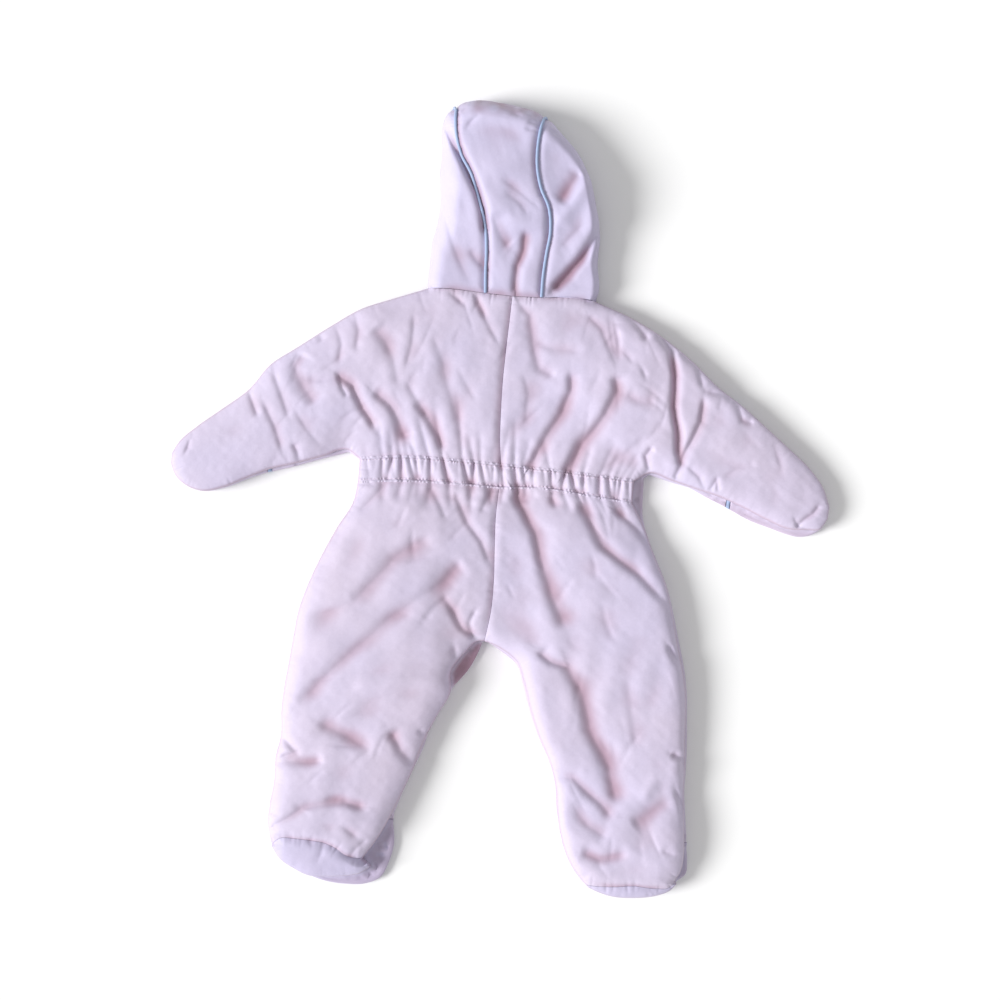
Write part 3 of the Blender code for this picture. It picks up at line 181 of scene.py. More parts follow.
# each cloth's second colour is the deep mauve of its painted shade in folds and hollows
cloths = {
    "shell": makeCloth("pale pink poplin", (0.63, 0.55, 0.695), (0.38, 0.225, 0.30), (0.61, 0.55, 0.73),
                       0.00045, 0.5, 0.1),
    "hood": makeCloth("pale lilac poplin", (0.575, 0.52, 0.70), (0.35, 0.22, 0.30), (0.555, 0.52, 0.725),
                      0.00045, 0.5, 0.1),
    # the soles' cloth is a bluer lilac, and it is also darker as painted shade for the steep soles
    "sole": makeCloth("lilac sole poplin", (0.56, 0.505, 0.68), (0.36, 0.22, 0.30), (0.54, 0.50, 0.70),
                      0.00045, 0.5, 0.1),
    "piping": makeCloth("light blue bias tape", (0.36, 0.45, 0.66), (0.26, 0.32, 0.50), (0.34, 0.44, 0.66),
                        0.0003, 0.6, 0.1),
    "thread": makeCloth("pale pink thread", (0.74, 0.58, 0.69), (0.62, 0.46, 0.56), (0.71, 0.57, 0.69),
                        0.0003, 0.6, 0.1),
    "tape": makeCloth("lilac zip tape", (0.50, 0.44, 0.56), (0.36, 0.30, 0.40), (0.48, 0.43, 0.56),
                      0.0006, 0.85, 0.05, 0.8),
}


def makeMetal(name, colour, rough):
    metal, tree, shader = newFinish(name)
    place = addNode(tree, "ShaderNodeTexCoord")
    scratch = addNode(tree, "ShaderNodeTexNoise", in_Scale=900.0, in_Detail=4.0)
    tree.links.new(place.outputs["Object"], scratch.inputs["Vector"])
    tree.links.new(mixColours(tree, scratch.outputs["Fac"], tuple(0.8 * c for c in colour), colour),
                   shader.inputs["Base Color"])
    worn = addNode(tree, "ShaderNodeMapRange", in_1=0.3, in_2=0.7, in_3=rough * 0.75, in_4=rough * 1.3)
    tree.links.new(scratch.outputs["Fac"], worn.inputs[0])
    tree.links.new(worn.outputs[0], shader.inputs["Roughness"])
    bump = addNode(tree, "ShaderNodeBump", in_Strength=0.15, in_Distance=0.00005)
    tree.links.new(scratch.outputs["Fac"], bump.inputs["Height"])
    tree.links.new(bump.outputs["Normal"], shader.inputs["Normal"])
    setInputs(shader, Metallic=1.0)
    return metal


def makeNylon(name, colour, rough):
    nylon, tree, shader = newFinish(name)
    place = addNode(tree, "ShaderNodeTexCoord")
    cloud = addNode(tree, "ShaderNodeTexNoise", in_Scale=160.0, in_Detail=2.0)
    tree.links.new(place.outputs["Object"], cloud.inputs["Vector"])
    tree.links.new(mixColours(tree, cloud.outputs["Fac"], tuple(0.9 * c for c in colour), colour),
                   shader.inputs["Base Color"])
    setInputs(shader, Roughness=rough, Subsurface_Weight=0.1, Subsurface_Scale=0.0005)
    return nylon


zipMetal = makeMetal("brushed zip metal", (0.62, 0.62, 0.65), 0.38)
zipNylon = makeNylon("lilac nylon teeth", (0.58, 0.51, 0.64), 0.35)
print("materials are made")

# seams and edges in the plan: points x, y; left is the wearer's left, at -x
backSeamTop = ((0, 9.5), (-3, 36), (-4.2, 62), (-4.8, 92), (-4, 125), (-3, 152), (-2, 178))
backSeamSeat = ((0, -12), (-1, -42), (0.3, -73), (2, -103), (1.8, -134), (-2.5, -166.5))
neck = {"left": ((-2, 178), (-30, 179), (-60, 180.5), (-87, 180)),
    "right": ((-2, 178), (28, 179), (56, 181.5), (82, 180))}
casingTop = {"left": ((0, 9.5), (-47, 10.5), (-94, 10), (-141, 5)),
    "right": ((0, 9.5), (45, 8.5), (90, 6.5), (134, 4))}
casingFoot = {"left": ((0, -12), (-47, -11.5), (-94, -12.5), (-141, -17)),
    "right": ((0, -12), (45, -9.5), (90, -13), (134, -17))}
underarm = {"left": ((-141, 5), (-154, 13), (-178, 4.5), (-204, -4.5), (-231, -13), (-252, -23),
    (-274, -34), (-296, -39.5), (-314, -34), (-324, -25), (-329, -14)),
    "right": ((134, 4), (149, 13.5), (171, 8), (196, 1.5), (222, -5), (245, -13.5), (268, -23), (292, -31),
    (310, -30.5), (323, -29), (330, -18))}
shoulder = {"left": ((-87, 180), (-118, 168), (-152, 154), (-180, 135), (-212, 111), (-237, 92), (-257, 65),
    (-283, 43), (-306, 24), (-322, 8), (-328.5, -4)),
    "right": ((82, 180), (118, 167), (152, 149.5), (182, 129), (212, 103.5), (236, 88), (262, 68),
    (287, 48.5), (309, 30), (323, 13), (331, -6))}
innerLeg = {"left": ((-2.5, -166.5), (-10, -168), (-19, -178), (-33, -200), (-32, -220), (-43, -244),
    (-54, -270), (-63, -300), (-72.5, -325), (-79.5, -343), (-91, -368), (-106, -392.5)),
    "right": ((-2.5, -166.5), (15, -173), (31, -184), (39.5, -203), (49, -232), (60, -258), (72, -281),
    (79.5, -303), (83.5, -330), (90, -357), (101, -381), (117, -400.5))}
outerLeg = {"left": ((-141, -17), (-144, -38), (-158, -65), (-172, -96), (-182.5, -124), (-190, -152),
    (-193, -178), (-195.5, -203), (-198, -228), (-199, -252), (-197.5, -276), (-201, -299), (-200.5, -322),
    (-203, -345), (-203.5, -362), (-201, -375), (-196.5, -383.5)),
    "right": ((134, -17), (145.5, -36), (160, -68), (175, -99), (184, -129), (190.5, -155), (197, -178),
    (202.5, -203), (204.5, -228), (205.5, -252), (207.5, -275), (208, -297), (210, -320), (212, -342),
    (213.5, -362), (211.5, -380), (206.5, -390))}
heel = {"left": ((-106, -392.5), (-122, -389.5), (-134, -382), (-145, -378), (-160, -376.5), (-175, -376),
    (-189, -377), (-196.5, -383.5)),
    "right": ((117, -400.5), (130, -400.5), (145, -399.5), (165, -397), (188, -398), (200, -396.5),
    (206.5, -390))}
sole = {"left": ((-97, -399.5), (-107, -407.5), (-122, -411.5), (-140, -413.5), (-158, -414),
    (-175, -407.5), (-189, -399), (-198, -387)),
    "right": ((121, -404), (132, -408), (147, -411), (167, -410.5), (189, -406.5), (202, -400.5),
    (208.5, -393.5))}

# edges of the lower layer, where it is not the same as the upper one
lowerSleeve = {"left": ((-178, 2.5), (-204, -7), (-226, -14)),
    "right": ((149, 12), (171, 6.5), (190, 2.5), (201, -2.5), (212, -7.5), (226, -13))}
lowerHand = {"left": ((-234, -16), (-252, -24), (-274, -34.5), (-296, -39.5), (-314, -34), (-324, -25),
    (-329, -9), (-322, 8), (-306, 24), (-283, 43), (-257, 65), (-240, 89)),
    "right": ((234, -17), (252, -25), (274, -31.5), (290, -36), (303, -38), (318, -34), (328, -24),
    (331, -8), (323, 13), (309, 30), (287, 48.5), (262, 68), (240, 86))}
lowerSide = {"left": ((-153, 11), (-141.5, 3), (-141.5, -17), (-144, -38), (-158, -65), (-172, -96),
    (-182.5, -124), (-190, -152), (-193, -178), (-195.5, -203), (-198, -228), (-199, -252), (-197.5, -276),
    (-201, -299), (-200.5, -322), (-203, -345)),
    "right": ((144, 8), (144.5, -8), (146, -30), (153, -52), (163, -72), (176, -99), (186, -130),
    (193, -155), (200, -180), (204.5, -205), (206.5, -230), (208.5, -255), (209.5, -280), (209.5, -300),
    (212, -322), (215, -345))}
lowerInner = {"left": ((-79, -347), (-73, -328), (-64, -303), (-54, -276), (-50, -258), (-40, -236),
    (-30, -216), (-16, -197), (-8, -180), (-4, -168)),
    "right": ((88, -347), (83, -330), (79, -303), (71, -281), (59, -259), (48, -234), (38.5, -206),
    (32, -189), (16, -176.5), (3, -169))}
lowerFoot = {"left": ((-203.5, -357), (-203, -372), (-198, -388), (-185, -402), (-165, -412.5),
    (-145, -419), (-122, -421), (-102, -419), (-88, -412), (-80, -395), (-76.5, -376), (-79, -357)),
    "right": ((216, -357), (218, -372), (217.5, -384), (209, -392), (200, -401.5), (185, -408),
    (165, -411.5), (145, -411), (128, -408), (115, -400), (101, -383), (91, -362))}

# hood, from the neck up to the crown: seam, widest line and hem of the face opening
piping = {"left": ((-29, 179), (-30.5, 200), (-31.5, 222), (-34, 242), (-43, 270), (-52, 293), (-64, 313),
    (-70.5, 332), (-72.5, 346), (-73, 357)),
    "right": ((27, 179), (27, 200), (28.5, 222), (30.5, 242), (27, 266), (18, 284), (12.5, 305),
    (11.5, 325), (13.5, 344), (16.5, 355.5))}
hoodWidest = {"left": ((-87, 180), (-87, 203), (-85.5, 228), (-82, 250), (-81, 268), (-84, 295),
    (-83.5, 318), (-85.5, 340), (-83, 352), (-75.5, 362.5)),
    "right": ((82, 180), (83.5, 196), (81, 215), (80.5, 245), (76, 270), (68, 297), (58, 317), (44, 335.5),
    (30, 349), (18.5, 359.5))}
faceHem = {"left": ((-7.6, 178.3), (-9.5, 196), (-20, 208), (-42, 225), (-54, 246), (-59, 268), (-58, 290),
    (-53, 307), (-45, 320), (-35, 329)),
    "right": ((7.6, 178.3), (9.5, 196), (20, 207), (36, 222), (44, 243), (46, 265), (43, 285), (36, 303),
    (27, 317), (14, 328))}
crownEdge = ((-75.5, 362.5), (-61, 368.5), (-41, 371), (-20, 369), (0, 366), (18.5, 359.5))
browHem = ((-35, 329), (-22, 334), (-5, 334), (14, 328))

# loft of the padding above the layer line: x, y, height, blended between the rows
loft = ((-75, 330, 30), (-30, 345, 36), (-30, 300, 39), (-10, 260, 36), (0, 215, 22), (50, 300, 33),
    (62, 250, 30), (-66, 255, 29), (-70, 205, 18), (60, 205, 17), (-20, 182, 13), (-65, 182, 13),
    (40, 182, 13), (75, 182, 12), (-60, 140, 16), (60, 140, 17), (0, 110, 16), (-100, 100, 18),
    (100, 100, 19), (0, 55, 14), (-60, 40, 13), (60, 40, 13), (-125, 55, 15), (140, 60, 17), (0, 0, 9),
    (-60, 0, 9), (60, 0, 9), (-125, 0, 8), (120, 0, 9), (-190, 85, 16), (190, 85, 16), (-220, 35, 14),
    (230, 40, 15), (-275, 5, 12), (275, 15, 14), (-315, -12, 10), (315, -5, 11), (-15, -60, 16),
    (-80, -60, 18), (80, -60, 19), (-135, -55, 15), (0, -125, 16), (-100, -130, 21), (100, -130, 21),
    (-110, -195, 20), (120, -200, 21), (-125, -260, 18), (135, -260, 19), (-135, -310, 18), (145, -320, 18),
    (-145, -350, 20), (150, -360, 22), (-150, -382, 24), (155, -393, 20), (-150, -405, 14), (155, -410, 12))
loftBlend = 24      # the rows run into each other over about this distance

# gathers of the back waist: x at the casing's top edge, lean down to its lower edge,
# depth, then how far the trough runs up the back and down the seat, each with its lean
gathers = ((-118, 1, 2.2, 45, -8, 22, 1), (-108, -4, 2.2, 35, -6, 28, -3), (-100, 4, 2.8, 40, -8, 25, -4),
    (-92, 8, 2.2, 30, -9, 28, -5), (-85, 5, 2.2, 30, -12, 22, 0), (-71, 3, 3, 50, -18, 30, -2),
    (-58, 8, 3.2, 60, -14, 30, 5), (-38, 8, 3.2, 75, -12, 34, 6), (-27, 2, 3, 32, -8, 18, -2),
    (-20, 7, 2.6, 38, -4, 24, 10), (-7, 1, 1.8, 24, -1, 14, 0), (1, 4, 3, 45, 5, 20, -2),
    (14, 4, 3, 55, -4, 26, 3), (22, 5, 2.8, 34, 6, 18, 0), (33, 1, 1.8, 26, 2, 14, 2),
    (50, 3, 3, 34, -10, 20, 3), (64, -1, 3, 42, 14, 24, 12), (70, 8, 3.2, 48, 12, 26, 10),
    (83, 2, 2.6, 34, 6, 26, 12), (99, 2, 2.6, 42, 16, 24, 12), (108, 5, 2.6, 36, 12, 24, 14),
    (116, 0, 2.2, 28, 10, 18, 14), (121, -1, 2.6, 32, 18, 16, 12), (128, 3, 2.6, 24, 12, 12, 8))
gatherSpread = 1.8  # a gather's far end is wider by this share

# folds: height (a trough is negative), width of the wall away from the light and of the one
# that faces it, share kept at the start and at the end, then the points x, y that it follows
folds = (
    # hood
    (-5.6, 3.4, 5, 0.3, 1, -84, 342, -73, 323, -60, 301),
    (-5.6, 3.6, 5, 1, 0.2, -60, 301, -45, 277, -37, 258, -33, 233),
    (-1, 3, 6, 0.2, 0.2, -80, 262, -67, 228, -46, 189), (-3.2, 7, 12, 0, 0.3, -28, 259, -16, 234, -7, 224),
    (-4.2, 4, 6, 0, 1, 7, 244, 6, 224, -1, 208, 0, 186),
    (1.8, 10, 10, 0.2, 0.2, -37, 278, -10, 252, 10, 246, 29, 247),
    (-1, 3, 6, 0, 0, -23, 291, -2, 278, 21, 263), (-1, 3, 6, 0, 0.3, -19, 278, -1, 266, 7, 256),
    (-3.6, 9, 8, 0, 0.2, 57, 307, 47, 287, 36, 270),
    (2.4, 7, 9, 0.4, 0.2, 65, 304, 60, 291, 49, 269, 37, 249),
    (-8, 4.4, 5, 1, 0.5, 80, 251, 73, 236, 61, 217, 51, 202, 37, 187),
    (-1, 3, 6, 0.2, 0.2, 42, 229, 51, 240, 63, 251), (-2, 4, 6, 0.3, 0.3, -48, 222, -39, 210, -31, 203),
    (-2.8, 3.4, 6, 0.2, 0.2, -50, 366, -38, 369, -23, 363, -9, 360),
    (-1.8, 3, 5, 0.2, 0.3, -73, 363, -60, 358), (-2, 3, 4, 0.4, 0.4, -20, 357, -5, 352),
    (-1.6, 2, 3, 0, 0, -2, 348, 15, 348), (-1.6, 2, 3, 0, 0, -4, 341, 13, 342),
    (-1.6, 2, 3, 0.3, 0, 19, 346, 34, 335),
    # back, left half
    (-1, 3, 6, 0.8, 0, -58, 176, -45, 161), (-1.6, 3, 6, 1, 0.3, -38, 171, -24, 149, -11, 126),
    (-3.2, 7, 12, 0, 0.2, -138, 137, -124, 124, -114, 104, -106, 79),
    (-1.6, 3, 6, 0.2, 0, -97, 154, -97, 121, -102, 95),
    (-1.8, 6, 10, 0, 0.2, -79, 135, -67, 112, -53, 69, -45, 43),
    (-4.4, 4.8, 9, 0.4, 0.2, -133, 73, -115, 61, -105, 44, -95, 27),
    (-3.4, 4, 8, 0.2, 0.4, -91, 66, -78, 51, -64, 34, -56, 20),
    (-1.8, 3, 6, 0.2, 1, -100, 87, -86, 66, -79, 55), (-1, 3, 6, 0.2, 0, -87, 98, -99, 82),
    # left sleeve
    (-4.4, 3.4, 6, 0.7, 0.2, -167, 85, -154, 78, -142, 54, -125, 33),
    (-2.2, 2.4, 3, 1, 0, -167, 83, -163, 74, -156, 65),
    (-3.2, 7, 12, 0.2, 0, -203, 108, -210, 90, -200, 68, -187, 52),
    (-1.8, 4, 6, 0.2, 0.5, -199, 79, -184, 80, -168, 85),
    (-1.6, 3, 5, 0.8, 0, -158, 149, -151, 132, -151, 109),
    (-1.5, 3, 5, 0.6, 0, -174, 133, -167, 116, -168, 96),
    (-1.9, 3, 6, 0.6, 0.2, -235, 91, -224, 66, -214, 40),
    (-1.9, 3, 6, 0.2, 0.4, -242, 57, -228, 32, -216, 4), (-1, 3, 6, 0.3, 0, -212, 52, -195, 31, -178, 14),
    (-2.8, 2.8, 5, 0.2, 1, -208, 16, -203, 7, -200, -3), (-2.2, 3, 4, 1, 0.1, -257, 63, -252, 53, -244, 38),
    (-2.4, 4, 5, 1, 0, -191, 125, -186, 117), (-1, 3, 6, 1, 0, -229, -8, -219, 4),
    (-1, 3, 6, 0.8, 0.2, -311, 10, -313, -4),
    # back, right half
    (-2.4, 5, 7, 0.8, 0.2, 6, 172, 18, 160, 22, 132, 32, 109, 47, 101),
    (-1.3, 5, 6, 0, 0, 22, 135, 45, 129, 76, 128),
    (-4.4, 4.8, 9, 0.1, 1, 61, 108, 64, 89, 56, 64, 41, 37, 29, 12),
    (-4.4, 4.8, 9, 0.1, 1, 106, 108, 109, 92, 100, 68, 80, 36, 66, 11),
    (-1.6, 3, 6, 0.4, 0, 75, 167, 90, 152, 108, 112), (-1.6, 5, 8, 0, 0, 118, 92, 131, 83, 150, 83),
    (-1, 3, 6, 0, 0.6, 145, 54, 115, 24, 101, 10), (-1, 3, 6, 0, 0.2, 159, 71, 148, 52, 131, 36),
    (-3.2, 3, 4, 0.2, 1, 150, 41, 143, 31, 147, 18, 140, 7),
    (-3, 4, 5, 0.8, 0.1, 120, 164, 129, 154, 136, 143), (-1, 3, 6, 0.2, 0.2, 16, 104, 22, 82, 21, 51),
    # right sleeve
    (-6.5, 3.6, 4.6, 1, 0.6, 149, 149, 160, 137, 166, 112, 167, 82, 173, 55, 177, 28),
    (-3.6, 3, 5, 0.1, 1, 195, 95, 195, 68, 184, 41, 174, 12),
    (-2.8, 3, 5, 1, 0, 171, 134, 188, 123, 195, 99), (-3.2, 4, 4, 0.6, 0.3, 197, 99, 218, 97, 227, 91),
    (-3, 4, 4, 1, 0.2, 230, 91, 236, 73, 248, 72), (-1, 3, 6, 0.2, 0, 215, 97, 211, 77),
    (-1.8, 3, 5, 0.2, 0.8, 184, 24, 197, 14, 203, 3), (-1, 3, 6, 0, 0, 221, 12, 235, 25, 255, 30),
    (-1, 3, 6, 0.4, 0, 270, 51, 282, 24), (-2.2, 2.6, 3, 1, 0.3, 210, 3, 216, 12, 218, 0),
    (-2.6, 2.6, 3, 1, 0.3, 301, -27, 315, -15, 320, -3), (-1.8, 2.4, 3, 1, 0.3, 301, -27, 317, -32),
    (-1.4, 2.4, 3, 1, 0.3, 301, -27, 295, -18),
    # seat and left leg
    (-2.6, 3, 6, 1, 0.2, -41, -27, -28, -50, -13, -68, -2, -89),
    (-1.8, 3, 5, 1, 0, -67, -19, -58, -34, -49, -49), (-2.2, 3, 5, 1, 0.2, -7, -15, -12, -26, -17, -40),
    (-2.2, 3, 6, 1, 0.3, -138, -26, -153, -55, -166, -88),
    (-3.2, 7, 12, 0, 0.2, -56, -61, -99, -92, -134, -138, -183, -159),
    (-3.2, 7, 12, 0, 0.3, -28, -87, -45, -109, -91, -146, -144, -199, -183, -245),
    (-3.4, 3, 6, 0.3, 1, -45, -127, -26, -155, -10, -164),
    (-2, 4, 7, 0, 0.6, -41, -123, -55, -136, -65, -151),
    (-2.4, 2.4, 3.4, 0.3, 1, -12, -135, -18, -149, -14, -164),
    (2.2, 7, 8, 0, 0.8, -133, -222, -86, -212, -37, -205),
    (-2.8, 3, 4, 0.3, 1, -33, -170, -29, -188, -34, -208),
    (-3.6, 7, 11, 0.2, 0, -162, -258, -133, -269, -103, -283),
    (-4.4, 4.8, 9, 0.1, 1, -91, -260, -77, -281, -64, -292), (-2.6, 3, 4, 0.2, 1, -61, -257, -52, -265),
    (-2.8, 3, 4, 0.8, 0.2, -194, -279, -179, -291, -197, -299),
    (-3.4, 5, 7, 1, 0.1, -198, -303, -174, -299, -150, -295),
    (-2.6, 3.4, 7, 0.8, 0.4, -196, -365, -170, -346, -125, -335, -108, -338),
    (-2, 4, 5, 0.1, 0.4, -149, -337, -129, -330), (-2.2, 4, 6, 0.6, 0.1, -127, -335, -104, -343),
    (-2, 4, 6, 0.2, 0.1, -131, -357, -108, -372), (-1, 3, 6, 0, 0.2, -101, -275, -126, -301),
    (-1, 3, 6, 0.5, 0, -194, -202, -183, -183),
    # right leg
    (-5.2, 5.2, 12, 1, 1, 18, -21, 39, -54, 51, -91), (-4.8, 7, 14, 1, 0.2, 51, -91, 63, -119, 77, -149),
    (-4.2, 4.4, 10, 0.2, 1, 51, -171, 65, -182, 84, -185),
    (-5, 7, 14, 1, 0.1, 84, -185, 98, -212, 109, -244, 131, -281, 142, -321),
    (-4.4, 4.8, 9, 0.8, 0.6, 85, -26, 108, -63, 143, -86, 175, -113),
    (-3, 3.4, 6, 1, 1, 118, -28, 141, -43, 167, -73), (-2, 2.6, 4, 1, 0.2, 138, -23, 147, -33),
    (-2, 3, 5, 1, 0.2, 53, -19, 60, -30), (-1.6, 5, 8, 0, 0, 197, -275, 177, -296, 165, -316),
    (1.8, 6, 7, 0, 0.6, 165, -316, 178, -287, 206, -278),
    (-3.4, 5, 8, 0.8, 0, 80, -294, 95, -295, 123, -315, 140, -333),
    (-2.6, 7, 10, 0.2, 0, 95, -317, 116, -340, 137, -352),
    (-4, 6, 8, 0.2, 0.1, 107, -368, 130, -373, 159, -364), (-1.8, 4, 5, 0.1, 0.5, 188, -358, 205, -363),
    (-3, 8, 12, 0, 0.3, 157, -337, 175, -325, 200, -306),
    (-5, 3.6, 4, 0.2, 1, 178, -154, 191, -170, 199, -172),
    (-2.8, 2.6, 3, 0.3, 1, 176, -117, 186, -147, 195, -172),
    (-2.8, 2.6, 3, 1, 0.3, 195, -172, 202, -218, 204, -265),
    (-2.8, 2.6, 3, 1, 0.3, 204, -265, 206, -294, 208, -332),
    (-4.6, 3.4, 4, 0.3, 1, 191, -262, 202, -267, 206, -278), (-3.6, 3.2, 4, 0.2, 0.8, 198, -295, 208, -315),
    (-1, 3, 6, 0.3, 0, 61, -270, 73, -274), (-1.4, 5, 9, 0, 0, 142, -184, 150, -231, 158, -269),
)

# finer creases: start x, y, end x, y, bow to the left of travel, height, width on the left and on
# the right of travel, share kept at the start and at the end
creases = (
    # hood
    (-68, 352, -60, 358, 0, -1.5, 2.5, 2.5, 0.6, 0.3), (-58, 338, -50, 350, 1, -1.5, 2.5, 2.5, 0.4, 0.4),
    (5, 357, 12, 352, 0, -1.5, 2.5, 2.5, 0.5, 0.5), (62, 312, 67, 298, 0, 1.5, 4, 4, 0.2, 0.2),
    # back
    (-38, 175, -25, 150, 1, -1.5, 3, 3, 0.8, 0.0), (-62, 175, -50, 165, 1, -1.5, 3, 3, 0.8, 0.0),
    (100, 165, 108, 115, 2, -1.6, 4, 4, 0.6, 0.0), (130, 120, 138, 105, 1, -1.8, 3, 3, 0.3, 0.3),
    # seat, legs and feet
    (98, -20, 115, -62, 2, -1.6, 4, 4, 0.6, 0.2), (-115, -20, -140, -50, 2, -1.6, 4, 4, 0.8, 0.3),
    (-140, -50, -165, -80, 1, -1.4, 4, 4, 0.5, 0.0), (-312, 8, -316, -7, 1, -1.4, 2, 2, 0.8, 0.2),
    (-123, -389, -106, -394, 1, -2.2, 3, 3, 0.6, 0.8), (-106, -394, -96, -400, 1, -2.2, 3, 3, 0.8, 0.6),
    (-117, -389, -110, -379, 1, -1.6, 3, 3, 0.8, 0.5), (-110, -379, -100, -372, 1, -1.6, 3, 3, 0.5, 0.2),
    (-197, -346, -203, -356, 0, -1.4, 2.5, 2.5, 0.6, 0.6), (-145, -378, -150, -395, 1, -1.2, 3, 3, 0.8, 0.6),
)


def runAlong(line):
    # the length run from a line's start to each of its points
    return np.concatenate([[0], np.cumsum(np.linalg.norm(np.diff(line, axis=0), axis=1))])


def unit(vectors):
    return vectors / np.linalg.norm(vectors, axis=-1, keepdims=True)


def curveAt(table, fractions):
    # points of a smooth curve through a table's rows; a fraction of 1 is the last row
    keys = np.array(table, float)
    gaps = np.linalg.norm(np.diff(keys, axis=0), axis=1)[:, None]
    slopes = np.diff(keys, axis=0) / gaps
    tangents = np.vstack([slopes[:1], slopes[:1], slopes[1:]])
    inner = slopes[:-1] * gaps[1:] + slopes[1:] * gaps[:-1]
    tangents[1:-1] = inner / (gaps[:-1] + gaps[1:])
    place = np.clip(np.atleast_1d(fractions), 0.0, 1.0) * (len(keys) - 1)
    low = np.minimum(place.astype(int), len(keys) - 2)
    f = (place - low)[:, None]
    run = gaps[low]
    return ((2 * f ** 3 - 3 * f ** 2 + 1) * keys[low] + (f ** 3 - 2 * f ** 2 + f) * run * tangents[low]
            + (3 * f ** 2 - 2 * f ** 3) * keys[low + 1] + (f ** 3 - f ** 2) * run * tangents[low + 1])


def smoothLine(table, count=50):
    return curveAt(table, np.linspace(0, 1, count))


def chainAt(tables, stations):
    # points along tables that follow each other; a station counts table rows from 0
    stations = np.atleast_1d(np.array(stations, float))
    points = np.zeros((len(stations), 2))
    start = 0
    for number, table in enumerate(tables):
        steps = len(table) - 1
        last = number == len(tables) - 1
        mine = (stations >= start) & ((stations < start + steps) | last)
        if mine.any():
            points[mine] = curveAt(table, (stations[mine] - start) / steps)
        start += steps
    return points


def chainSteps(tables):
    return sum(len(table) - 1 for table in tables)


def evenStations(chains, spacing, keep=()):
    # stations at even distances along the mean of several chains, with the kept ones among them
    steps = chainSteps(chains[0])
    fine = np.linspace(0, steps, 60 * steps + 1)
    run = sum(np.linalg.norm(np.diff(chainAt(chain, fine), axis=0), axis=1) for chain in chains)
    run = np.concatenate([[0], np.cumsum(run)]) / len(chains)
    even = np.interp(np.linspace(0, run[-1], max(4, round(run[-1] / spacing)) + 1), run, fine)
    for station in keep:
        even[np.abs(even - station).argmin()] = station
    return even


def placeAlong(points, line):
    # distance from a line, length run along it and the side of it, at each point
    tree = KDTree(len(line))
    for number, (x, y) in enumerate(line):
        tree.insert((x, y, 0), number)
    tree.balance()
    near = np.array([tree.find((x, y, 0))[1] for x, y in points], int)
    lengths = np.linalg.norm(np.diff(line, axis=0), axis=1)
    start = np.concatenate([[0], np.cumsum(lengths)])
    gap = np.full(len(points), np.inf)
    run, side = np.zeros(len(points)), np.zeros(len(points))
    for first in (np.maximum(near - 1, 0), np.minimum(near, len(line) - 2)):
        along, off = line[first + 1] - line[first], points - line[first]
        share = np.clip((off * along).sum(1) / np.maximum(lengths[first] ** 2, 1e-9), 0, 1)
        far = np.linalg.norm(off - share[:, None] * along, axis=1)
        closer = far < gap
        gap = np.where(closer, far, gap)
        run = np.where(closer, start[first] + share * lengths[first], run)
        side = np.where(closer, np.sign(along[:, 0] * off[:, 1] - along[:, 1] * off[:, 0]), side)
    return gap, run, side


def distanceTo(points, line):
    return placeAlong(points, line)[0]


def softStep(value):
    value = np.clip(value, 0, 1)
    return value * value * (3 - 2 * value)


seeds = {"wander": (3, 4), "bulk": 11, "fine": 12, "hoodBulk": 21, "hoodFine": 22, "piping": 31,
         "seams": 40, "crown": 43, "hoodSeams": 60, "frontBulk": 71, "crumple": 72, "edge": 90,
         "bands": 120, "scallops": (131, 132), "tape": 151}


def waves(points, size, seed, count=22):
    # smooth seeded unevenness of about the given size, mostly within -1 and 1
    dice = np.random.default_rng(seed)
    points = np.asarray(points, float)
    headings = unit(dice.normal(size=(count, points.shape[-1])))
    pitch = 2 * math.pi / (size * dice.uniform(0.7, 1.5, count))
    phase = dice.uniform(0, 2 * math.pi, count)
    total = np.zeros(points.shape[:-1])
    for heading, step, start in zip(headings, pitch, phase):
        total += np.cos(points @ heading * step + start)
    return total / math.sqrt(count / 2) / 1.6


light = (math.cos(math.radians(20)), math.sin(math.radians(20)))  # the way it travels over the plan
foldSteps = 10      # straight pieces in each row's bowed line
foldFade = 0.4      # share of its length over which a fold grows from each end


def foldRows():
    # the folds' table in the creases' columns, one row for each stretch
    rows = []
    for height, narrow, wide, keep1, keep2, *places in folds:
        points = list(zip(places[::2], places[1::2]))
        for k, (a, b) in enumerate(zip(points, points[1:])):
            facing = (a[1] - b[1]) * light[0] + (b[0] - a[0]) * light[1] > 0
            left, right = (wide, narrow) if facing else (narrow, wide)
            rows.append((*a, *b, 0, height, left, right, keep1 if k == 0 else 1,
                         keep2 if k == len(points) - 2 else 1))
    return rows


